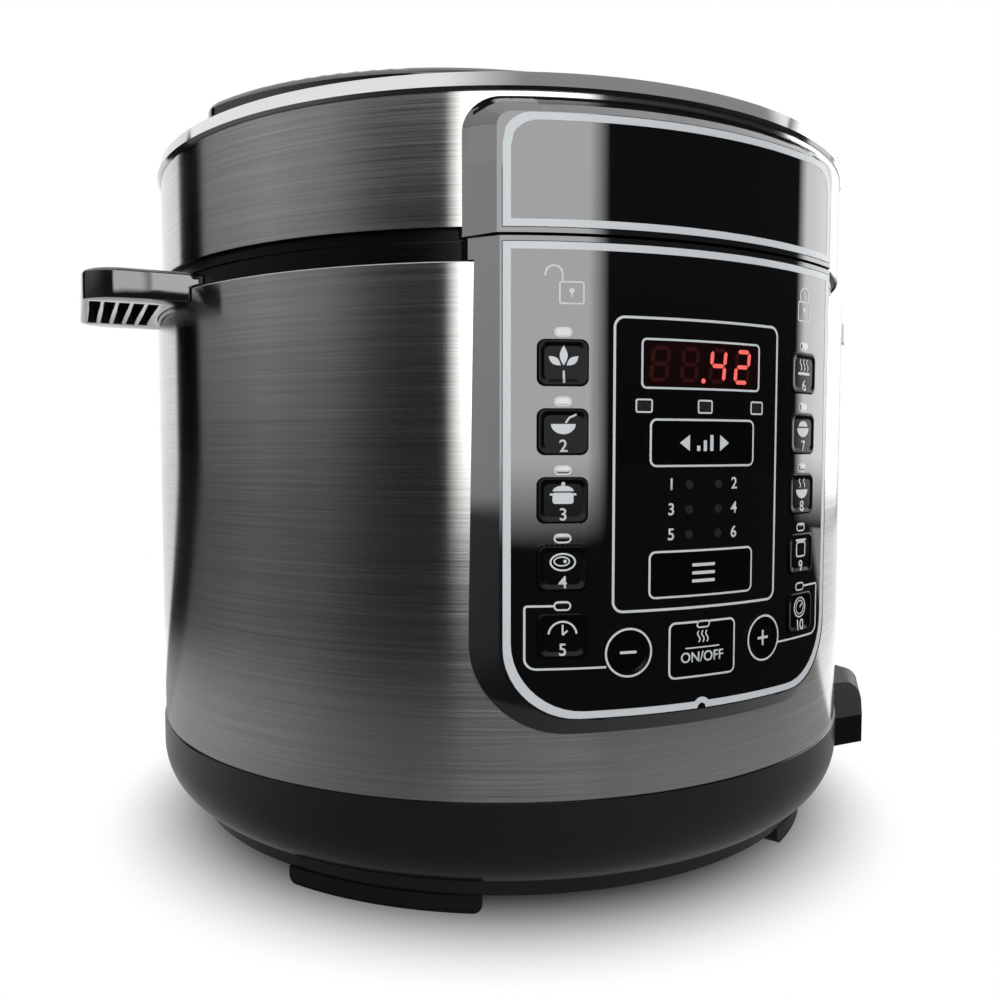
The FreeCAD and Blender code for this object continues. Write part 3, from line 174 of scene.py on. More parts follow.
# Neck ring and the lid's lower lip: two black mouldings that meet at the split.
# Smoother than the base, because the lid slides on them when it turns.
neck_black, place = new_finish("neck_black", IOR=1.45, Specular_IOR_Level=0.16)
rubbing = place.mottle((60.0, 60.0, 900.0))
vary(
    neck_black,
    Base_Color=rubbing.tint((0.0008, 0.0008, 0.0008), (0.002, 0.002, 0.002)),
    Roughness=0.2 + 0.14 * rubbing,
    Normal=rubbing.relief(0.06, 0.00004),
)
dress(neck_black, "neck_ring", "lid_lip")

# Outer pot, probe holder, spring and the cap under the lid: pressed and drawn steel sheet.
# The drawing dies leave faint upright lines on the walls.
pressed_steel, place = new_finish("pressed_steel", Metallic=1.0)
draw_line = place.mottle((900.0, 900.0, 18.0))
vary(
    pressed_steel,
    Base_Color=draw_line.tint((0.44, 0.44, 0.43), (0.62, 0.62, 0.61)),
    Roughness=0.22 + 0.16 * draw_line,
    Normal=draw_line.relief(0.1, 0.00005),
)
dress(pressed_steel, "outer_pot", "steam_shield", "probe_holder", "probe_spring")

# Heater plate, pressure lid and temperature probe: cast aluminium, shot blasted.
# The blasting leaves an even satin with small pits.
cast_aluminium, place = new_finish("cast_aluminium", Metallic=1.0)
blast = place.mottle(1500.0)
patch = place.mottle(40.0)
vary(
    cast_aluminium,
    Base_Color=patch.tint((0.54, 0.54, 0.55), (0.68, 0.68, 0.69)),
    Roughness=0.34 + 0.16 * blast,
    Normal=blast.relief(0.2, 0.00008),
)
dress(cast_aluminium, "heater_plate", "pressure_lid", "temperature_probe")

# Inner pot: spun aluminium with a dark non-stick coat inside and out.
# The coat is sprayed, so it holds pale specks.
pot_coating, place = new_finish("pot_coating", IOR=1.5)
speck = place.add("ShaderNodeTexVoronoi", {}, {"Vector": place, "Scale": 420.0})
fleck = speck.add(
    "ShaderNodeValToRGB", {"stops": [(0.0, 1.0), (0.16, 0.75), (0.22, 0.0)]}, {"Fac": speck}
)
vary(
    pot_coating,
    Base_Color=fleck.tint((0.022, 0.022, 0.024), (0.16, 0.16, 0.165)),
    Roughness=0.3 + 0.14 * place.mottle(300.0),
    Normal=place.mottle(1900.0).relief(0.16, 0.00006),
)
dress(pot_coating, "inner_pot")

# Screws, pipe, sleeve, float and contact blades: small plated turned parts.
# Plating over turned steel and brass, with fine rings from the lathe.
valve_metal, place = new_finish("valve_metal", Metallic=1.0)
ring_mark = place.mottle((300.0, 300.0, 3600.0))
vary(
    valve_metal,
    Base_Color=ring_mark.tint((0.6, 0.56, 0.47), (0.74, 0.7, 0.6)),
    Roughness=0.18 + 0.14 * ring_mark,
)
dress(valve_metal, "steam_pipe", "float_sleeve", "float_pin", "inlet_pins")
screw_steel, place = new_finish("screw_steel", Metallic=1.0)
plating = place.mottle(900.0)
vary(
    screw_steel,
    Base_Color=plating.tint((0.5, 0.5, 0.5), (0.66, 0.66, 0.65)),
    Roughness=0.24 + 0.14 * plating,
)
dress(screw_steel, "pot_screws", "lid_screws")

# Circuit boards with their switches and lamps, hidden behind the panel and in the base.
# Green laminate with etched tracks, on a plain black carrier.
board_green, place = new_finish("board_green", IOR=1.5)
track = place.add(
    "ShaderNodeTexWave", {"wave_type": "BANDS", "bands_direction": "DIAGONAL"},
    {"Vector": place, "Scale": 130.0, "Distortion": 6.0, "Detail": 1.0}, output=1
)
vary(
    board_green,
    Base_Color=track.tint((0.012, 0.1, 0.04), (0.03, 0.19, 0.08)),
    Roughness=0.3 + 0.12 * track,
)
dress(board_green, "control_board", "power_board")
plain_black, place = new_finish("plain_black", IOR=1.45)
speckle = place.mottle(700.0)
vary(
    plain_black,
    Base_Color=speckle.tint((0.018, 0.018, 0.02), (0.034, 0.034, 0.036)),
    Roughness=0.45 + 0.2 * speckle,
)
dress(plain_black, "board_carrier", "key_switches", "display_module")
lamp_body, place = new_finish("lamp_body", IOR=1.5)
milk = place.mottle(900.0)
vary(
    lamp_body,
    Base_Color=milk.tint((0.6, 0.58, 0.52), (0.74, 0.72, 0.66)),
    Roughness=0.3 + 0.2 * milk,
)
dress(lamp_body, "indicator_leds")

# Panel frames, handles, top cover, grip bar and valve knob: glossy black mouldings.
# Polished tools give a piano finish with a trace of hand marks.
black_gloss, place = new_finish("black_gloss", IOR=2.05)
touch = place.mottle(38.0, 5.0)
vary(
    black_gloss,
    Base_Color=touch.tint((0.0035, 0.0035, 0.004), (0.006, 0.006, 0.0065)),
    Roughness=0.035 + 0.05 * touch,
)
dress(black_gloss, "lid_cover", "lid_handle", "steam_valve")
MERGE = 0.000002


def select_only(*pieces):
    """Select some pieces and make the first one active."""
    bpy.ops.object.select_all(action="DESELECT")
    for piece in pieces:
        piece.select_set(True)
    bpy.context.view_layer.objects.active = pieces[0]


def edit_all(piece):
    """Open one piece in edit mode with all of it selected."""
    select_only(piece)
    bpy.ops.object.mode_set(mode="EDIT")
    bpy.ops.mesh.select_all(action="SELECT")


def fit(piece, finish, body):
    """Give a new piece its finish and the body that it rides on."""
    piece.data.materials.clear()
    piece.data.materials.append(finish)
    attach(piece, body)


def copy_of(node):
    """A copy of a solid's mesh with its corners joined, to be reshaped in the solid's place."""
    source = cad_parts[node]
    piece = bpy.data.objects.new(node + "_skin", source.data.copy())
    bpy.context.collection.objects.link(piece)
    piece.data.transform(source.matrix_world)
    edit_all(piece)
    bpy.ops.mesh.remove_doubles(threshold=MERGE)
    bpy.ops.mesh.customdata_custom_splitnormals_clear()
    bpy.ops.object.mode_set(mode="OBJECT")
    return piece


def stand_in(piece, node, body, angle):
    """Shade a reshaped copy and let it take its solid's place."""
    select_only(piece)
    bpy.ops.object.shade_smooth_by_angle(angle=math.radians(angle))
    fit(piece, black_gloss, body)
    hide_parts(node)


def border(x, z, wide, end, corner, up):
    """How far a point lies inside a frame's outer edge, and the way outwards across and along."""
    side, beyond = abs(x) - (wide - corner), corner - (z - end) * up
    if beyond < 0:
        return wide - abs(x), math.copysign(1.0, x), 0.0
    if side < 0:
        return corner - beyond, 0.0, -up
    reach = math.hypot(side, beyond)
    return corner - reach, math.copysign(side / reach, x), -up * beyond / reach


def tighter(x, z, wide, end, corner, up, depth, tight):
    """Where a point at some depth inside a frame's edge goes when the corners get a smaller radius."""
    side, beyond = abs(x) - (wide - corner), corner - (z - end) * up
    if side <= 0 or beyond <= 0:
        return x, z
    turn = math.atan2(beyond, side)
    across, along = math.cos(turn), math.sin(turn)
    straight = corner - tight
    radius = max(tight - depth, 0.0)
    if along * (corner - depth) <= straight * across:
        reach = (corner - depth) / across
    elif across * (corner - depth) <= straight * along:
        reach = (corner - depth) / along
    else:
        middle = straight * (across + along)
        reach = middle + math.sqrt(max(middle ** 2 - 2 * straight ** 2 + radius ** 2, 0.0))
    return math.copysign(wide - corner + reach * across, x), end + up * (corner - reach * along)


SIDE_SLOPE = 0.0063
FALL = 0.0056
LESS_FALL_AT_SIDES = 0.00069
OVER_STEEL = 0.0001
ON_EDGE = 0.0001
EDGE_DROP = (0.004, 0.0059)
EDGE_SLACK = 0.00008
SLOPED_DEPTH = (0.0003, SIDE_SLOPE + 0.0002)
SLOPED_DROP = (0.0002, 0.0057)
GRIP_EDGE = 0.0005
panel_radius = -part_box("control_panel_face")[0].y
# A frame, the steel behind it, its body, the corner radius of its solid and of the finished frame,
# the width of the slope at its round end, and 1 where that end is the low one.
frames = (
    ("control_panel_frame", "housing_shell", "cooker", 0.034, 0.027, 0.0053, 1),
    ("lid_panel_frame", "lid_skirt", "lid", 0.02, 0.01, 0.0063, -1),
)
for node, steel, body, corner, tight, end_slope, up in frames:
    low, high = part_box(node)
    wide, end = high.x, low.z if up > 0 else high.z
    rise = panel_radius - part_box(steel)[1].x - OVER_STEEL
    piece = copy_of(node)
    # Points on the outer edge of the solid's slope, and how far each lies below the sheet.
    rim = []
    for vertex in piece.data.vertices:
        x, y, z = vertex.co
        drop = panel_radius - math.hypot(x, y)
        if border(x, z, wide, end, corner, up)[0] < ON_EDGE and EDGE_DROP[0] < drop < EDGE_DROP[1]:
            rim.append((Vector((x, z)), drop))
    # The slope is widened and let down to the steel, and the corners are tightened.
    for vertex in piece.data.vertices:
        x, y, z = vertex.co
        radius = math.hypot(x, y)
        drop = max(panel_radius - radius, 0.0)
        depth, across, along = border(x, z, wide, end, corner, up)
        slope = end_slope + (SIDE_SLOPE - end_slope) * across ** 2
        if depth > slope:
            continue
        inside = depth
        foot = Vector((x + across * depth, z + along * depth))
        edge_drop = min(rim, key=lambda point: (point[0] - foot).length)[1]
        if drop < edge_drop + EDGE_SLACK:
            share = min(drop / edge_drop, 1.0)
            radius = panel_radius - share * rise
            inside = slope * (1.0 - share)
            x -= across * (inside - depth)
            z -= along * (inside - depth)
        x, z = tighter(x, z, wide, end, corner, up, inside, tight)
        vertex.co = (x, -math.sqrt(radius ** 2 - x * x), z)
    stand_in(piece, node, body, angle=25)
    # The slope is shaded as one even face; a zero normal leaves the other faces as they are.
    normals = []
    for polygon in piece.data.polygons:
        points = [piece.data.vertices[i].co for i in polygon.vertices]
        drops = [panel_radius - math.hypot(point.x, point.y) for point in points]
        edges = [border(point.x, point.z, wide, end, tight, up) for point in points]
        depths = [depth for depth, across, along in edges]
        sloped = SLOPED_DEPTH[0] < max(depths) < SLOPED_DEPTH[1]
        sloped = sloped and SLOPED_DROP[0] < max(drops) < SLOPED_DROP[1]
        for point, (depth, across, along) in zip(points, edges):
            outward = Vector((point.x, point.y, 0.0)).normalized()
            away = across * Vector((-outward.y, outward.x, 0.0)) + along * Vector((0.0, 0.0, 1.0))
            slope = end_slope + (SIDE_SLOPE - end_slope) * across ** 2
            fall = FALL - LESS_FALL_AT_SIDES * abs(across) ** 3
            normals.append((outward * slope + away * fall).normalized() if sloped else Vector())
    piece.data.normals_split_custom_set(normals)
for node in ("handle_left", "handle_right"):
    piece = copy_of(node)
    bpy.ops.object.mode_set(mode="EDIT")
    bpy.ops.mesh.dissolve_limited(angle_limit=math.radians(1))
    bpy.ops.object.mode_set(mode="OBJECT")
    edge = piece.modifiers.new("edge", "BEVEL")
    edge.width = GRIP_EDGE
    edge.segments = 2
    edge.angle_limit = math.radians(50)
    bpy.ops.object.modifier_apply(modifier=edge.name)
    stand_in(piece, node, "cooker", angle=40)

# Panel sheets: a glossy black sheet set flush in each frame.
# Printed from behind and hard coated, so it mirrors lights more clearly than the frames.
panel_black, place = new_finish("panel_black", IOR=2.05)
film = place.mottle(30.0, 4.0)
vary(
    panel_black,
    Base_Color=film.tint((0.0008, 0.0008, 0.001), (0.0016, 0.0016, 0.0018)),
    Roughness=0.02 + 0.03 * film,
)
dress(panel_black, "control_panel_face", "lid_panel_face")

# Lines and signs printed on the sheets in silver ink.
# Drawn flat in millimetres, x to the right and z up, then laid on the sheets' round face.
MM = 0.001
INK = 0.00006
FLUSH = INK / 6
CAPITAL = 0.69
LETTER_WEIGHT = 0.022
key_radius = -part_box("key_adjust")[0].y
silver_ink, place = new_finish("silver_ink", IOR=1.5)
pigment = place.mottle(5200.0)
vary(
    silver_ink,
    Base_Color=pigment.tint((0.4, 0.43, 0.45), (0.52, 0.55, 0.57)),
    Roughness=0.32 + 0.14 * pigment,
)


def corners_of(node):
    """A solid's lowest and highest corners in millimetres."""
    return [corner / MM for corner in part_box(node)]


def middle_of(node):
    """The middle of a solid, across and up, in millimetres."""
    low, high = corners_of(node)
    return (low.x + high.x) / 2, (low.z + high.z) / 2


def size_of(node):
    """The width and height of a solid in millimetres."""
    low, high = corners_of(node)
    return high.x - low.x, high.z - low.z


def round_arc(x, z, radius, start, end, flat=1.0):
    """Points on an arc between two angles in degrees; flat squeezes its height."""
    steps = max(3, int(abs(end - start) / 8))
    turns = [math.radians(start + (end - start) * i / steps) for i in range(steps + 1)]
    return [(x + radius * math.cos(a), z + radius * flat * math.sin(a)) for a in turns]


def circle(x, z, radius, flat=1.0):
    """Points round a full turn; the outline itself closes the last step."""
    return round_arc(x, z, radius, 0, 352, flat)


def rounded_box(x, z, width, height, corner):
    """A rectangle about a centre with round corners."""
    across, up = width / 2 - corner, height / 2 - corner
    outline = []
    for side, level, start in ((1, 1, 0), (-1, 1, 90), (-1, -1, 180), (1, -1, 270)):
        outline += round_arc(x + side * across, z + level * up, corner, start, start + 90)
    return outline


def line(path, width, closed=False):
    """Outlines of a line of some width along a path: one for an open path, two for a closed one."""
    count = len(path)
    left, right = [], []
    for i, (x, z) in enumerate(path):
        before = path[i - 1] if closed or i > 0 else path[i]
        after = path[(i + 1) % count] if closed or i < count - 1 else path[i]
        along = Vector((after[0] - before[0], after[1] - before[1])).normalized()
        left.append((x - along.y * width / 2, z + along.x * width / 2))
        right.append((x + along.y * width / 2, z - along.x * width / 2))
    return [left, right] if closed else [left + right[::-1]]


def dense(outline, step=1.5):
    """The same outline with no edge longer than a step, so that it can follow a round face."""
    points = []
    for (x0, z0), (x1, z1) in zip(outline, outline[1:] + outline[:1]):
        cuts = max(1, math.ceil(math.hypot(x1 - x0, z1 - z0) / step))
        points += [(x0 + (x1 - x0) * i / cuts, z0 + (z1 - z0) * i / cuts) for i in range(cuts)]
    return points


def flat_print(name, shapes, figures=()):
    """Filled flat shapes, each a list of outlines, and figures given as text, x, z and height."""
    parts = []
    for outlines in shapes:
        curve = bpy.data.curves.new(name, "CURVE")
        curve.dimensions = "2D"
        curve.fill_mode = "BOTH"
        for outline in outlines:
            points = dense(outline)
            spline = curve.splines.new("POLY")
            spline.points.add(len(points) - 1)
            spline.use_cyclic_u = True
            for point, (x, z) in zip(spline.points, points):
                point.co = (x * MM, z * MM, 0.0, 1.0)
        parts.append(bpy.data.objects.new(name, curve))
    for text, x, z, height in figures:
        letters = bpy.data.curves.new(name, "FONT")
        letters.body = text
        letters.size = height * MM / CAPITAL
        letters.offset = height * MM * LETTER_WEIGHT
        letters.align_x = "CENTER"
        letters.align_y = "CENTER"
        parts.append(bpy.data.objects.new(name, letters))
        parts[-1].location = (x * MM, z * MM, 0.0)
    for part in parts:
        bpy.context.collection.objects.link(part)
    select_only(*parts)
    bpy.ops.object.convert(target="MESH")
    bpy.ops.object.transform_apply()
    if len(parts) > 1:
        bpy.ops.object.join()
    piece = bpy.context.view_layer.objects.active
    piece.name = name
    edit_all(piece)
    bpy.ops.mesh.remove_doubles(threshold=MERGE)
    bpy.ops.mesh.beautify_fill()
    bpy.ops.mesh.normals_make_consistent(inside=False)
    bpy.ops.object.mode_set(mode="OBJECT")
    if sum(polygon.normal.z for polygon in piece.data.polygons) < 0:
        piece.data.flip_normals()
    return piece


def lay_on(piece, radius):
    """Lay a piece that was made flat on a round face: its height leaves the face."""
    for vertex in piece.data.vertices:
        x, z, rise = vertex.co
        vertex.co = (x, -math.sqrt((radius + rise) ** 2 - x * x), z)


def thicken(piece, thickness):
    """Give a skin its thickness outwards."""
    select_only(piece)
    wall = piece.modifiers.new("thickness", "SOLIDIFY")
    wall.thickness = thickness
    wall.offset = 1.0
    bpy.ops.object.modifier_apply(modifier=wall.name)


def print_on_sheet(
    name, shapes, figures=(), body="cooker", finish=silver_ink, thickness=INK
):
    """Lay flat shapes and figures on the round face of a sheet that rides on a body."""
    piece = flat_print(name, shapes, figures)
    lay_on(piece, panel_radius)
    thicken(piece, thickness)
    fit(piece, finish, body)


def sheet_edge(node, corner, round_low):
    """The outline of a sheet, with its two low or high corners rounded."""
    low, high = corners_of(node)
    wide, bottom, top = high.x, low.z, high.z
    if round_low:
        foot = round_arc(-wide + corner, bottom + corner, corner, 180, 270)
        foot += round_arc(wide - corner, bottom + corner, corner, 270, 360)
        return foot + [(wide, top), (-wide, top)]
    head = round_arc(wide - corner, top - corner, corner, 0, 90)
    head += round_arc(-wide + corner, top - corner, corner, 90, 180)
    return [(-wide, bottom), (wide, bottom)] + head


def inset(outline, width):
    """The outline moved inwards, towards its middle, along both axes."""
    wide = max(x for x, z in outline)
    low, high = min(z for x, z in outline), max(z for x, z in outline)
    middle, tall = (low + high) / 2, (high - low) / 2
    return [(x * (1 - width / wide), middle + (z - middle) * (1 - width / tall)) for x, z in outline]


RING = 2.1
FINE = 0.62
MENU_LINE = 0.75
SHEET_CORNER = 21.0
LID_SHEET_CORNER = 7.5
LID_RING_RISE = 1.5
NOTCH_OUTER = 1.5
NOTCH_INNER = 3.3
SEAM = 1.3
SEAM_OUT = 0.1
edge = sheet_edge("control_panel_face", SHEET_CORNER, True)
inner = inset(edge, RING)
notch = corners_of("control_panel_face")[0].z
half = (len(edge) - 2) // 2
ring = [edge[:half] + round_arc(0.0, notch, NOTCH_OUTER, 180, 0) + edge[half:]]
ring.append(inner[:half] + round_arc(0.0, notch, NOTCH_INNER, 140, 40) + inner[half:])
menu_frame = rounded_box(x=0.0, z=139.5, width=59.4, height=85.0, corner=3.0)
window_x, window_z = middle_of("display_lens")
window = rounded_box(window_x, window_z, *size_of("display_lens"), corner=1.4)
print_on_sheet("panel_ring", [ring])
print_on_sheet("menu_frame_line", [line(menu_frame, MENU_LINE, closed=True)])
print_on_sheet("window_line", [line(window, FINE, closed=True)])
edge = sheet_edge("lid_panel_face", LID_SHEET_CORNER, False)
middle = sum(z for x, z in edge) / len(edge)
edge = [(x, z + LID_RING_RISE * (z > middle)) for x, z in edge]
print_on_sheet("lid_panel_ring", [[edge, inset(edge, RING)]], body="lid")
# Black bands close the joints between the sheets' round corners and their frames.
for node, body, radius, low_end, name in (
    ("control_panel_face", "cooker", 28.0, True, "panel_seams"),
    ("lid_panel_face", "lid", 13.0, False, "lid_panel_seams"),
):
    low, high = corners_of(node)
    level = low.z + radius if low_end else high.z - radius
    turns = ((-1, 180), (1, 270)) if low_end else ((1, 0), (-1, 90))
    bands = []
    for side, start in turns:
        arc = round_arc(side * (high.x - radius), level, radius + SEAM_OUT, start, start + 90)
        bands.append(line(arc, SEAM))
    print_on_sheet(name, bands, body=body, finish=panel_black, thickness=FLUSH)

# Lock signs beside the split, an open lock at the left and a shut one at the right.
# They show which way the lid turns to lock.
LOCK_X = 43.0
LOCK_SHIFT = 1.0
LOCK_Z = 188.3
LOCK_WIDE = 6.6
LOCK_TALL = 6.0
HOOP = 2.3
HOOP_Z = LOCK_Z + 5.2
SHUT_FOOT = LOCK_Z + 3.2
OPEN_FOOT = LOCK_Z + 4.6
locks = (
    (-1, -1.6 - LOCK_WIDE / 2, OPEN_FOOT, "open_lock_sign"),
    (1, 0.0, SHUT_FOOT, "shut_lock_sign"),
)
for side, aside, left_foot, name in locks:
    x = side * LOCK_X + LOCK_SHIFT
    case = line(rounded_box(x, LOCK_Z, LOCK_WIDE, LOCK_TALL, corner=0.6), 0.45, closed=True)
    hoop = [(x + aside + HOOP, SHUT_FOOT)]
    hoop += round_arc(x + aside, HOOP_Z, HOOP, 0, 180)
    hoop += [(x + aside - HOOP, left_foot)]
    keyhole = circle(x, LOCK_Z + 0.6, 0.75)
    slit = [(x - 0.3, LOCK_Z), (x + 0.3, LOCK_Z), (x, LOCK_Z - 1.7)]
    print_on_sheet(name, [case, line(hoop, 0.5), [keyhole], [slit]])

# Lamp windows: pills over the side keys, three squares under the display and six small dots.
# Clear drops in the sheet with a mirrored back, outlined in silver ink.
PILL_WIDE = 4.4
PILL_TALL = 2.3
PILL_LINE = 0.5
PILL_OVER_KEY = 2.05
MODE_X = 20.6
MODE_Z = 156.8
MENU_Z = 133.8
MENU_STEP = 7.4
MENU_DOT = 2.6
MENU_DOT_X = 5.3
MENU_FIGURE_X = 11.5
FIGURE = 3.4
LAMP_WALL = 0.1
LAMP_DOME = ((0.2, 0.015), (0.3, 0.008))
lamp_glass, place = new_finish("lamp_glass", Metallic=1.0)
haze = place.mottle(600.0)
vary(
    lamp_glass,
    Base_Color=haze.tint((0.2, 0.2, 0.2), (0.28, 0.28, 0.28)),
    Roughness=0.03 + 0.05 * haze,
)
dot_glass, place = new_finish("dot_glass", IOR=1.5)
haze = place.mottle(600.0)
vary(
    dot_glass,
    Base_Color=haze.tint((0.012, 0.012, 0.012), (0.02, 0.02, 0.02)),
    Roughness=0.12 + 0.1 * haze,
)


def lamp_window(name, x, z, width, height, corner, finish):
    """A low dome that fills its place in the sheet."""
    piece = flat_print(name, [[rounded_box(x, z, width, height, corner)]])
    edit_all(piece)
    bpy.ops.mesh.dissolve_limited(angle_limit=0.01)
    bpy.ops.mesh.extrude_region_move(TRANSFORM_OT_translate={"value": (0, 0, LAMP_WALL * MM)})
    for thickness, rise in LAMP_DOME:
        bpy.ops.mesh.inset(thickness=thickness * MM, depth=rise * MM)
    bpy.ops.object.mode_set(mode="OBJECT")
    lay_on(piece, panel_radius)
    bpy.ops.object.shade_smooth_by_angle(angle=math.radians(50))
    fit(piece, finish, "cooker")


pill_lines = []
for side in ("left", "right"):
    for row in range(1, 6):
        key = f"key_{side}_{row}"
        x, z = middle_of(key)[0], corners_of(key)[1].z + PILL_OVER_KEY
        wide, tall = PILL_WIDE - PILL_LINE, PILL_TALL - PILL_LINE
        lamp_window(f"lamp_{side}_{row}", x, z, wide, tall, corner=0.88, finish=lamp_glass)
        pill_lines.append(line(rounded_box(x, z, PILL_WIDE, PILL_TALL, 1.1), PILL_LINE, closed=True))
print_on_sheet("pill_lines", pill_lines)
squares = []
for number, x in enumerate((-MODE_X, 0.0, MODE_X), 1):
    lamp_window(f"mode_lamp_{number}", x, MODE_Z, width=3.6, height=2.4, corner=0.3, finish=dot_glass)
    square = rounded_box(x, MODE_Z, width=4.9, height=3.6, corner=0.5)
    squares.append(line(square, PILL_LINE, closed=True))
print_on_sheet("mode_lamp_lines", squares)
menu_figures = []
for number in range(6):
    side, row = number % 2 * 2 - 1, number // 2
    z = MENU_Z - row * MENU_STEP
    dot = side * MENU_DOT_X
    lamp_window(f"menu_lamp_{number + 1}", dot, z, MENU_DOT, MENU_DOT, MENU_DOT / 2 - 0.01, dot_glass)
    menu_figures.append((str(number + 1), side * MENU_FIGURE_X, z, FIGURE))
print_on_sheet("menu_figures", [], menu_figures)

# Display: a smoked window flush with the sheet, and four digits of seven segments each.
# Unlit segments show as a dark red, lit ones glow.
smoked, place = new_finish("smoked_window", IOR=1.55)
shade = place.mottle(50.0)
vary(
    smoked,
    Base_Color=shade.tint((0.004, 0.001, 0.001), (0.009, 0.002, 0.002)),
    Roughness=0.03 + 0.04 * shade,
)
dress(smoked, "display_lens")
lit, place = new_finish("lit_segment", Emission_Strength=1.0, IOR=1.45)
glow = place.mottle(900.0)
vary(
    lit,
    Base_Color=glow.tint((0.05, 0.004, 0.003), (0.06, 0.006, 0.005)),
    Emission_Color=glow.tint((0.92, 0.1, 0.085), (1.0, 0.17, 0.145)),
)
unlit, place = new_finish("unlit_segment", IOR=1.45)
film = place.mottle(900.0)
vary(
    unlit,
    Base_Color=film.tint((0.02, 0.003, 0.003), (0.032, 0.005, 0.005)),
    Roughness=0.12 + 0.1 * film,
)
DIGIT_WIDE = 5.0
DIGIT_TALL = 9.2
SEGMENT = 1.25
SEGMENT_GAP = 0.25
SLANT = 0.1
bars = {
    "a": (0.0, 1.0, True), "b": (0.5, 0.5, False), "c": (0.5, -0.5, False), "d": (0.0, -1.0, True),
    "e": (-0.5, -0.5, False), "f": (-0.5, 0.5, False), "g": (0.0, 0.0, True),
}
shown = {True: [], False: []}
for digit_x, on in ((-15.6, ""), (-5.6, ""), (4.6, "bcfg"), (14.2, "abged")):
    for letter, (across, up, level) in bars.items():
        x, z = across * DIGIT_WIDE, up * DIGIT_TALL / 2
        reach = (DIGIT_WIDE / 2 if level else DIGIT_TALL / 4) - SEGMENT_GAP
        tip = SEGMENT / 2
        bar = [(-reach, 0), (tip - reach, tip), (reach - tip, tip)]
        bar += [(-u, -v) for u, v in bar]
        bar = bar if level else [(v, u) for u, v in bar]
        bar = [(digit_x + x + u + (z + v) * SLANT, window_z + z + v) for u, v in bar]
        shown[letter in on].append([bar])
shown[True].append([circle(-0.8, window_z - DIGIT_TALL / 2, 0.75)])
for is_lit, finish, name in ((True, lit, "digits_lit"), (False, unlit, "digits_unlit")):
    print_on_sheet(name, shown[is_lit], finish=finish)

# Keys: fifteen caps that slide through the sheet, each with a shallow dish for the fingertip.
# Moulded in black and printed with a silver sign and a plain figure.
key_black, place = new_finish("key_black", IOR=1.5, Specular_IOR_Level=0.1)
touch = place.mottle(160.0)
vary(
    key_black,
    Base_Color=touch.tint((0.0012, 0.0012, 0.0014), (0.0026, 0.0026, 0.0028)),
    Roughness=0.1 + 0.1 * touch,
)
# How far in from the cap's edge each ring lies, and how high, in millimetres.
CAP_RINGS = (
    (0.08, 0.16), (0.22, 0.28), (0.45, 0.33), (0.9, 0.26), (1.6, 0.07),
    (2.4, -0.14), (3.2, -0.31), (4.0, -0.44), (4.8, -0.53), (5.6, -0.58),
)
CAP_SINK = 0.33
CAP_SKIRT = 4
CAP_STEP = 2.5
KEY_CORNER = 2.2
LIP_OUT = 0.6
LIP_IN = 0.12
FIGURE_Z = -4.2
ROUND_KEY_LINE = 7.0


def key_cap(node, corner=None):
    """A cap over a key's solid: a rolled edge, then rings that sink towards the middle."""
    low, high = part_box(node)
    width, height = high.x - low.x, high.z - low.z
    bpy.ops.object.select_all(action="DESELECT")
    if corner is None:
        bpy.ops.mesh.primitive_circle_add(vertices=72, radius=width / 2, fill_type="NGON")
        cap = bpy.context.object
        bpy.ops.object.mode_set(mode="EDIT")
    else:
        steps = round(width / (CAP_STEP * MM))
        bpy.ops.mesh.primitive_grid_add(x_subdivisions=steps, y_subdivisions=1, size=1.0)
        cap = bpy.context.object
        for vertex in cap.data.vertices:
            vertex.co = (vertex.co.x * width, vertex.co.y * height, 0.0)
        bpy.ops.object.mode_set(mode="EDIT")
        bpy.ops.mesh.select_all(action="DESELECT")
        bpy.ops.object.mode_set(mode="OBJECT")
        for vertex in cap.data.vertices:
            vertex.select = abs(vertex.co.x) > width * 0.499
        bpy.ops.object.mode_set(mode="EDIT")
        bpy.ops.mesh.bevel(offset=corner, segments=7, affect="VERTICES")
    bpy.ops.mesh.select_all(action="SELECT")
    before, level = 0.0, 0.0
    for inward, rise in CAP_RINGS:
        bpy.ops.mesh.extrude_region_move(TRANSFORM_OT_translate={"value": (0, 0, (rise - level) * MM)})
        across = (width - 2 * inward * MM) / (width - 2 * before * MM)
        up = (height - 2 * inward * MM) / (height - 2 * before * MM)
        bpy.ops.transform.resize(value=(across, up, 1.0), center_override=(0, 0, 0))
        before, level = inward, rise
    bpy.ops.mesh.select_all(action="DESELECT")
    bpy.ops.mesh.select_mode(type="EDGE")
    bpy.ops.mesh.select_non_manifold(
        extend=False, use_boundary=True, use_wire=False, use_multi_face=False,
        use_non_contiguous=False, use_verts=False
    )
    bpy.ops.mesh.extrude_region_move(TRANSFORM_OT_translate={"value": (0, 0, -CAP_SKIRT * MM)})
    bpy.ops.mesh.edge_face_add()
    bpy.ops.mesh.select_all(action="SELECT")
    bpy.ops.mesh.normals_make_consistent(inside=False)
    bpy.ops.object.mode_set(mode="OBJECT")
    cap.name = node + "_cap"
    middle = ((low.x + high.x) / 2, (low.z + high.z) / 2, -CAP_SINK * MM)
    cap.data.transform(Matrix.Translation(middle))
    cap.location = (0, 0, 0)
    lay_on(cap, key_radius)
    bpy.ops.object.shade_smooth_by_angle(angle=math.radians(40))
    fit(cap, key_black, node)
    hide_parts(node)
    return cap


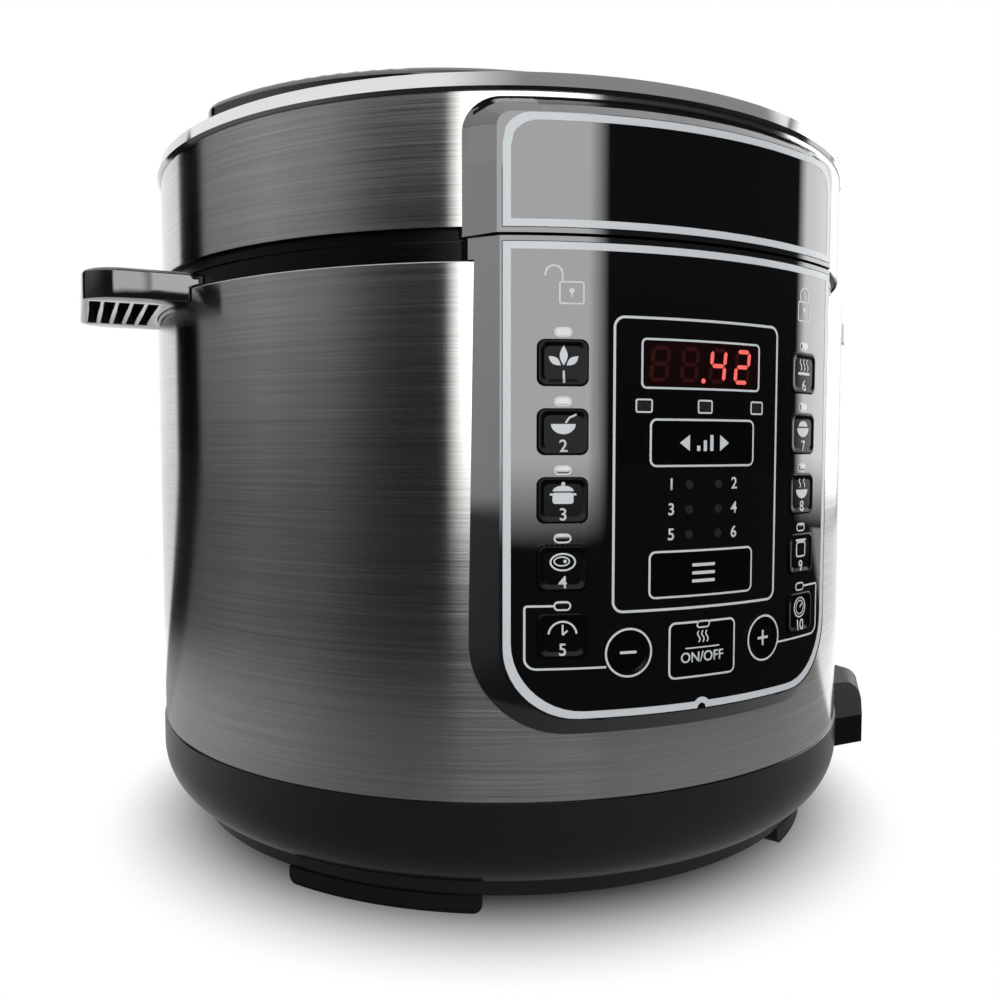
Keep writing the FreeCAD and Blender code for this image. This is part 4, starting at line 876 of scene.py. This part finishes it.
def print_on_key(cap, node, shapes, figures=()):
    """Ink laid on the cap's dish; shapes are drawn about the key's centre."""
    x, z = middle_of(node)
    shapes = [[[(x + u, z + v) for u, v in outline] for outline in shape] for shape in shapes]
    figures = [(text, x + u, z + v, height) for text, u, v, height in figures]
    piece = flat_print(node + "_sign", shapes, figures)
    lay_on(piece, key_radius + MM)
    select_only(piece)
    hug = piece.modifiers.new("hug", "SHRINKWRAP")
    hug.target = cap
    hug.wrap_method = "PROJECT"
    hug.use_project_y = True
    hug.use_negative_direction = True
    hug.offset = INK * 1.5
    bpy.ops.object.modifier_apply(modifier=hug.name)
    thicken(piece, INK / 2)
    fit(piece, silver_ink, node)


def leaf(x, z, length, width, angle):
    """A pointed leaf that grows from a place at an angle in degrees."""
    turn = math.radians(angle)
    half = [(length * i / 8, width / 2 * math.sin(math.pi * i / 8)) for i in range(9)]
    outline = half + [(u, -v) for u, v in half[-2:0:-1]]
    return [(x + u * math.cos(turn) - v * math.sin(turn), z + u * math.sin(turn) + v * math.cos(turn))
            for u, v in outline]


def wave(x, z, tall):
    """An upright wavy line, for steam or heat."""
    steps = [i / 12 for i in range(13)]
    return line([(x + 0.45 * math.sin(math.tau * i), z + tall * (i - 0.5)) for i in steps], 0.45)


def bowl(z):
    """The lower half of a round bowl."""
    return [round_arc(0.0, z, 3.4, 180, 360, 0.85)]


# A lip round each key closes the gap between its cap and the sheet.
lips = []
side_keys = [f"key_{side}_{row}" for side in ("left", "right") for row in range(1, 6)]
for key in side_keys + ["key_adjust", "key_function", "key_cancel"]:
    x, z = middle_of(key)
    width, height = size_of(key)
    outer = rounded_box(x, z, width + 2 * LIP_OUT, height + 2 * LIP_OUT, 0.3)
    lips.append([outer, rounded_box(x, z, width + 2 * LIP_IN, height + 2 * LIP_IN, KEY_CORNER + 0.1)])
for key in ("key_minus", "key_plus"):
    x, z = middle_of(key)
    radius = size_of(key)[0] / 2
    lips.append([circle(x, z, radius + LIP_OUT), circle(x, z, radius + LIP_IN)])
print_on_sheet("key_lips", lips, finish=panel_black, thickness=FLUSH)

# Signs are drawn about the middle of their key; a plain figure stands under each side key's sign.
signs = {
    "left": [
        [[leaf(0.0, -0.8, 5.6, 2.2, 90)], [leaf(-0.8, -0.8, 4.2, 2.0, 142)],
         [leaf(0.8, -0.8, 4.2, 2.0, 38)]],
        [bowl(2.2), line([(0.6, 2.5), (1.6, 4.0), (3.6, 4.9)], 0.55)],
        [[rounded_box(0.0, 0.6, 5.8, 3.2, 0.8)], [round_arc(0.0, 2.6, 2.9, 0, 180, 0.55)],
         [circle(0.0, 4.7, 0.55)], [rounded_box(0.0, 1.7, 7.4, 0.6, 0.25)]],
        [line(circle(0.0, 1.8, 3.4, 0.7), 0.5, True), line(circle(-0.3, 2.0, 2.1, 0.6), 0.4, True),
         [circle(0.6, 2.0, 0.5)]],
        [line(round_arc(0.0, 0.2, 3.9, 5, 175), 0.55), line([(0.0, 3.2), (0.0, 0.2)], 0.5),
         line([(0.0, 0.2), (1.3, 1.5)], 0.5)],
    ],
    "right": [
        [[rounded_box(0.0, -0.2, 7.0, 0.9, 0.4)], wave(-1.9, 2.6, 3.6), wave(0.0, 2.6, 3.6),
         wave(1.9, 2.6, 3.6)],
        [bowl(1.8), [round_arc(0.0, 2.3, 2.6, 0, 180, 0.7)]],
        [bowl(1.4), wave(-1.3, 3.5, 2.8), wave(1.3, 3.5, 2.8)],
        [line(rounded_box(0.0, 1.4, 5.0, 4.6, 0.8), 0.55, True),
         [rounded_box(0.0, 4.4, 6.0, 0.7, 0.3)]],
        [line(circle(0.0, 1.8, 3.2), 0.5, True), line(circle(0.0, 1.8, 2.2), 0.35, True),
         line([(0.0, 1.8), (1.2, 3.0)], 0.5)],
    ],
}
for side, column in signs.items():
    for row, sign in enumerate(column, 1):
        node = f"key_{side}_{row}"
        cap = key_cap(node, KEY_CORNER * MM)
        figure = row if side == "left" else row + 5
        print_on_key(cap, node, sign, [(str(figure), 0.0, FIGURE_Z, FIGURE)])
arrows = [[[(-9.0, 0.0), (-5.5, 2.4), (-5.5, -2.4)]], [[(9.0, 0.0), (5.5, 2.4), (5.5, -2.4)]]]
levels = [[rounded_box(-2.4 + 2.4 * i, -1.6 + 0.8 * i, 1.2, 1.6 + 1.6 * i, 0.2)] for i in range(3)]
menu_bars = [[rounded_box(0.0, 2.4 * i, 8.4, 0.95, 0.3)] for i in (-1, 0, 1)]
heat = [wave(1.5 * i, 3.7, 3.4) for i in (-1, 0, 1)]
wide_signs = {
    "key_adjust": (arrows + levels, ()),
    "key_function": (menu_bars, ()),
    "key_cancel": (heat + [[rounded_box(0.0, 0.4, 12.5, 0.4, 0.15)]], [("ON/OFF", 0.0, -2.6, 3.0)]),
}
RIM_IN = 0.45
for node, (sign, figures) in wide_signs.items():
    width, height = size_of(node)
    cap = key_cap(node, KEY_CORNER * MM)
    outline = rounded_box(0.0, 0.0, width - 2 * RIM_IN, height - 2 * RIM_IN, 1.9)
    whole = node != "key_cancel"
    if not whole:
        # The double key's lamp breaks the upper side of its line.
        quarter, top = len(outline) // 4, height / 2 - RIM_IN
        outline = [(-PILL_WIDE / 2, top)] + outline[quarter:] + outline[:quarter] + [(PILL_WIDE / 2, top)]
        pill = rounded_box(0.0, top - 0.85, PILL_WIDE, 1.9, 0.9)
        sign = sign + [line(pill, PILL_LINE, closed=True)]
    print_on_key(cap, node, sign + [line(outline, FINE, closed=whole)], figures)
dash = [rounded_box(0.0, 0.0, 5.2, 0.8, 0.3)]
cross = [(-2.4, -0.4), (-0.4, -0.4), (-0.4, -2.4), (0.4, -2.4), (0.4, -0.4), (2.4, -0.4)]
cross = [cross + [(-u, -v) for u, v in cross]]
for node, sign in (("key_minus", dash), ("key_plus", cross)):
    cap = key_cap(node)
    print_on_key(cap, node, [sign, line(circle(0.0, 0.0, ROUND_KEY_LINE), FINE, closed=True)])

# Bracket lines that lead from the lowest lamps to the minus and plus keys.
# They show that these two keys set the time.
HIGH_BEND = 0.8
LOW_BEND = 3.2
lamp_x = middle_of("key_right_5")[0]
lamp_z = corners_of("key_right_5")[1].z + PILL_OVER_KEY
key_z = middle_of("key_plus")[1]
key_edge = corners_of("key_plus")[1].x
brackets = (
    (-1, 4.0, 54.6, 0.9, "bracket_line_left"),
    (1, 2.4, 55.2, 0.1, "bracket_line_right"),
)
for side, drop, bracket_x, past_edge, name in brackets:
    foot_z = key_z - drop
    path = [(lamp_x + PILL_WIDE / 2 + 0.2, lamp_z)]
    path += round_arc(bracket_x - HIGH_BEND, lamp_z - HIGH_BEND, HIGH_BEND, 90, 0)
    path += round_arc(bracket_x - LOW_BEND, foot_z + LOW_BEND, LOW_BEND, 0, -90)
    path += [(key_edge - past_edge, foot_z)]
    path = [(side * x, z) for x, z in path]
    print_on_sheet(name, [line(path, FINE)])

# Condensate cup at the back: one clear moulding that slides on two rails.
# Clear plastic with a faint cool cast.
clear_cup, place = new_finish("clear_cup", Transmission_Weight=1.0, IOR=1.46)
clouding = place.mottle(70.0)
vary(
    clear_cup,
    Base_Color=clouding.tint((0.9, 0.93, 0.95), (0.97, 0.98, 0.99)),
    Roughness=0.03 + 0.08 * clouding,
)
dress(clear_cup, "condensate_cup")

# Rim round the top of the lid: a spun ring of polished steel.
# Buffed bright, with faint turning marks.
polished_rim, place = new_finish("polished_rim", Metallic=1.0)
buffing = place.mottle((26.0, 26.0, 1800.0))
vary(
    polished_rim,
    Base_Color=buffing.tint((0.56, 0.56, 0.555), (0.66, 0.66, 0.655)),
    Roughness=0.05 + 0.06 * buffing,
)
dress(polished_rim, "lid_rim")

# Sealing ring under the pressure lid: soft white silicone.
# Moulded, slightly waxy, with a little dust in its surface.
silicone, place = new_finish("silicone", IOR=1.42, Subsurface_Weight=0.15, Subsurface_Scale=0.002)
wax = place.mottle(240.0)
vary(
    silicone,
    Base_Color=wax.tint((0.7, 0.7, 0.68), (0.8, 0.8, 0.78)),
    Roughness=0.38 + 0.16 * wax,
    Normal=wax.relief(0.05, 0.0001),
)
dress(silicone, "sealing_ring")

# Studio: a pale floor with a painted shadow round the base, a bright softbox in front, another at the
# right and a grey surround.
# The surround and the cards on the floor only show in mirrored light, as flags and reflectors do,
# and three small reflectors are aimed at a few pieces alone.
VIEW_ANGLE = math.radians(-115.0)
SURROUND = 6.0
SURROUND_TALL = 3.2
UPPER_TALL = 7.0
# Inner and outer radius of the painted shadow round the base, and how far its middle is shifted.
PAINTED_SHADOW_FADE = (0.108, 0.166)
PAINTED_SHADOW_SHIFT = (0.0021, 0.0045, 0.0)
NEAR_CARD = 0.5
NEAR_FADE = 0.3
CARD_MARGIN = 0.04
CARD_SOFT = 0.11
STRIP_LOW = 0.04
STRIP_HIGH = 0.8
STRIP_SOFT = 0.03


def emitting(name):
    """A stage material with no shader yet, and the start of its nodes."""
    material = bpy.data.materials.new(name)
    material.use_nodes = True
    tree = material.node_tree
    tree.nodes.remove(tree.nodes["Principled BSDF"])
    return material, Signal(tree)


def shine(level):
    """A glow as strong as a signal says."""
    return level.add("ShaderNodeEmission", {}, {"Strength": level})


def light_up(piece, material, shader):
    """Cover a stage piece with a material whose surface is this shader."""
    output = material.node_tree.nodes["Material Output"]
    material.node_tree.links.new(shader.socket, output.inputs["Surface"])
    piece.data.materials.append(material)


def only_mirrored(piece):
    """Hide a stage piece from all but mirrored light."""
    piece.visible_camera = False
    piece.visible_diffuse = False
    piece.visible_transmission = False
    piece.visible_shadow = False


def ray_kinds(start):
    """Whether light is seen straight, by a mirror and through glass."""
    return [start.add("ShaderNodeLightPath", {}, {}, output=i) for i in (0, 3, 6)]


def by_angle(start, levels):
    """Grey levels round the cooker's axis, at angles in degrees from the direction of the camera."""
    place = start.place()
    turned = start.add("ShaderNodeMapping", {}, {"Vector": place, "Rotation": (0, 0, -VIEW_ANGLE)})
    axes = [start.add("ShaderNodeSeparateXYZ", {}, {0: turned}, output=i) for i in (0, 1)]
    angle = start.math("ARCTAN2", axes[1], axes[0]) / math.tau + 0.5
    stops = [(degrees / 360 + 0.5, level) for degrees, level in levels]
    return start.add("ShaderNodeValToRGB", {"stops": stops}, {"Fac": angle})


bpy.ops.object.select_all(action="DESELECT")
bpy.ops.mesh.primitive_plane_add(size=60.0)
floor = bpy.context.object
floor.name = "floor"
pale, start = emitting("pale_floor")
straight, mirrored, through = ray_kinds(start)
seen = start.math("MAXIMUM", straight, start.math("MAXIMUM", mirrored, through))
# A painted shadow: near the axis the floor is a dark grey matt, which the lamps also light and shade, and
# further out it fades into an even white glow.
matt = start.add("ShaderNodeBsdfDiffuse", {}, {"Color": (0.12, 0.12, 0.12, 1.0)})
painted_shadow_floor = start.add("ShaderNodeAddShader", {}, {0: matt, 1: shine(0.02 * seen)})
place = start.place()
place = start.add("ShaderNodeVectorMath", {"operation": "ADD"}, {0: place, 1: PAINTED_SHADOW_SHIFT})
reach = start.add("ShaderNodeVectorMath", {"operation": "LENGTH"}, {0: place}, output=1)
fade = start.add(
    "ShaderNodeMapRange", {"interpolation_type": "SMOOTHSTEP"},
    {0: reach, 1: PAINTED_SHADOW_FADE[0], 2: PAINTED_SHADOW_FADE[1]}
)
bright = shine(0.55 + 0.45 * seen)
light_up(floor, pale, start.add("ShaderNodeMixShader", {}, {0: fade, 1: painted_shadow_floor, 2: bright}))


def surround_wall(name, low, tall):
    """A round wall far behind everything, seen only in mirrored light."""
    bpy.ops.mesh.primitive_cylinder_add(
        vertices=160, radius=SURROUND, depth=tall, end_fill_type="NOTHING", location=(0, 0, low + tall / 2)
    )
    wall = bpy.context.object
    wall.name = name
    only_mirrored(wall)
    return wall


def floor_disc(name, radius, height):
    """A round card just above the floor, seen only in mirrored light."""
    bpy.ops.mesh.primitive_circle_add(
        vertices=96, radius=radius, fill_type="NGON", location=(0, 0, height)
    )
    disc = bpy.context.object
    disc.name = name
    only_mirrored(disc)
    return disc


surround = surround_wall("surround", 0.0, SURROUND_TALL)
grey, start = emitting("grey_surround")
LEVELS = [
    (-180, 1.0), (-126, 1.0), (-124, 0.0), (-109, 0.0), (-106, 0.16), (-76, 0.22), (-54, 0.15),
    (-38, 0.05), (-30, 0.025), (-17, 0.015), (30, 0.015), (104, 0.015), (107, 1.0), (180, 1.0),
]
shade = by_angle(start, LEVELS)
place = start.place()
height = start.add("ShaderNodeSeparateXYZ", {}, {0: place}, output=2)
rise = start.add("ShaderNodeMapRange", {}, {0: height, 1: -1.3, 2: -0.2, 3: 0.95, 4: 1.8})
light_up(surround, grey, shine(start.math("MINIMUM", shade * rise, 1.0)))

upper = surround_wall("upper_surround", SURROUND_TALL, UPPER_TALL)
upper_grey, start = emitting("upper_grey")
shade = by_angle(start, [(-180, 1.0), (-20, 1.0), (8, 0.3), (100, 0.3), (107, 1.0), (180, 1.0)])
light_up(upper, upper_grey, start.add("ShaderNodeEmission", {}, {"Color": shade, "Strength": 1.2}))

card = floor_disc("floor_card", SURROUND, height=0.0004)
dark, start = emitting("dark_card")
floor_levels = [(angle, 0.9 if level > 0.5 else 0.012 + 0.6 * level) for angle, level in LEVELS]
light_up(card, dark, shine(by_angle(start, floor_levels)))


def see_through(piece, material, level):
    """Let a stage piece add a glow to what lies behind it, and hide nothing."""
    clear = level.add("ShaderNodeBsdfTransparent", {}, {})
    light_up(piece, material, level.add("ShaderNodeAddShader", {}, {0: shine(level), 1: clear}))


def shine_on(card, pieces):
    """Let a card show only in some pieces, as a small reflector does that is aimed at them."""
    aimed = bpy.data.collections.new(card.name)
    for piece in pieces:
        aimed.objects.link(piece)
    card.light_linking.receiver_collection = aimed


card = floor_disc("near_card", NEAR_CARD, height=0.0008)
near, start = emitting("near_glow")
glow = by_angle(start, [
    (-180, 0.5), (-106, 0.32), (-60, 0.2), (-20, 0.12), (0, 0.16), (30, 0.24), (100, 0.3), (180, 0.5),
])
place = start.place()
reach = start.add("ShaderNodeVectorMath", {"operation": "LENGTH"}, {0: place}, output=1)
fade = start.add("ShaderNodeMapRange", {}, {0: reach, 1: NEAR_FADE, 2: NEAR_CARD, 3: 1.0, 4: 0.0})
see_through(card, near, glow * fade)
shine_on(card, [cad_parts[node] for node in ("housing_shell", "base_shell", "foot_pads")])


def soft_card(name, place, low, high, width, radiance, soft, pieces=()):
    """A glowing panel with soft edges that faces the cooker's axis and only shows in mirrored light."""
    bpy.ops.object.select_all(action="DESELECT")
    bpy.ops.mesh.primitive_plane_add(size=1.0)
    panel = bpy.context.object
    panel.name = name
    bpy.ops.transform.resize(value=(width, high - low, 1.0), center_override=(0, 0, 0))
    bpy.ops.object.transform_apply()
    panel.location = (*place, (low + high) / 2)
    panel.rotation_mode = "QUATERNION"
    panel.rotation_quaternion = Vector((-place[0], -place[1], 0.0)).to_track_quat("Z", "Y")
    only_mirrored(panel)
    glow, start = emitting(name)
    middle = start.place()
    level = radiance
    for axis, half in ((0, width / 2), (1, (high - low) / 2)):
        across = start.add("ShaderNodeSeparateXYZ", {}, {0: middle}, output=axis)
        across = start.math("ABSOLUTE", across, 0.0)
        ends = {0: across, 1: half - soft, 2: half, 3: 1.0, 4: 0.0}
        level = level * start.add("ShaderNodeMapRange", {}, ends)
    if pieces:
        see_through(panel, glow, level)
        shine_on(panel, pieces)
    else:
        light_up(panel, glow, shine(level))


def softbox(name, place, low, high, width, radiance):
    """An upright lamp panel that faces the cooker's axis."""
    light = bpy.data.lights.new(name, "AREA")
    light.shape = "RECTANGLE"
    light.size = width
    light.size_y = high - low
    light.energy = math.pi * width * (high - low) * radiance
    lamp = bpy.data.objects.new(name, light)
    bpy.context.collection.objects.link(lamp)
    lamp.location = (*place, (low + high) / 2)
    lamp.rotation_mode = "QUATERNION"
    lamp.rotation_quaternion = Vector((-place[0], -place[1], 0.0)).to_track_quat("-Z", "Y")
    lamp.visible_camera = False
    lamp.visible_glossy = False
    low, high, width = low - CARD_MARGIN, high + CARD_MARGIN, width + 2 * CARD_MARGIN
    soft_card(name + "_card", place, low, high, width, radiance, CARD_SOFT)


front = math.radians(-108.0)
front_place = (math.cos(front), math.sin(front))
softbox("front_softbox", front_place, low=0.06, high=0.7, width=0.73, radiance=3.0)
softbox("side_softbox", (1.209, 0.103), low=0.06, high=0.9, width=1.08, radiance=3.0)
strips = (
    ("frame_strip", (-1.16, 0.2), 0.9, 1.2, ("control_panel_frame", "lid_panel_frame")),
    ("handle_strip", (0.326, -0.945), 0.62, 3.2, ("handle_left", "handle_right")),
)
for name, place, width, radiance, nodes in strips:
    skins = [bpy.data.objects[node + "_skin"] for node in nodes]
    soft_card(name, place, STRIP_LOW, STRIP_HIGH, width, radiance, STRIP_SOFT, skins)

world = bpy.data.worlds.new("studio")
bpy.context.scene.world = world
world.use_nodes = True
straight, mirrored, through = ray_kinds(Signal(world.node_tree))
sky = world.node_tree.nodes["Background"]
sky.inputs["Color"].default_value = (1.0, 1.0, 1.0, 1.0)
strength = 0.75 + 0.25 * (straight + through) + 0.6 * mirrored
world.node_tree.links.new(strength.socket, sky.inputs["Strength"])

# Camera: low and close in front of the left half of the panel, as the photograph was taken.
# Its place, tilt and lens were fitted to what the photograph shows of the steel and the panel.
LENS = 32.997
EYE = (-0.1708, -0.3662, 0.1448)
LOOK_DOWN = 3.29
LOOK_RIGHT = 25.0
eye = bpy.data.cameras.new("camera")
eye.lens = LENS
eye.sensor_width = 36.0
camera = bpy.data.objects.new("camera", eye)
bpy.context.collection.objects.link(camera)
camera.location = EYE
camera.rotation_euler = (math.radians(90.0 - LOOK_DOWN), 0.0, math.radians(-LOOK_RIGHT))
bpy.context.scene.camera = camera
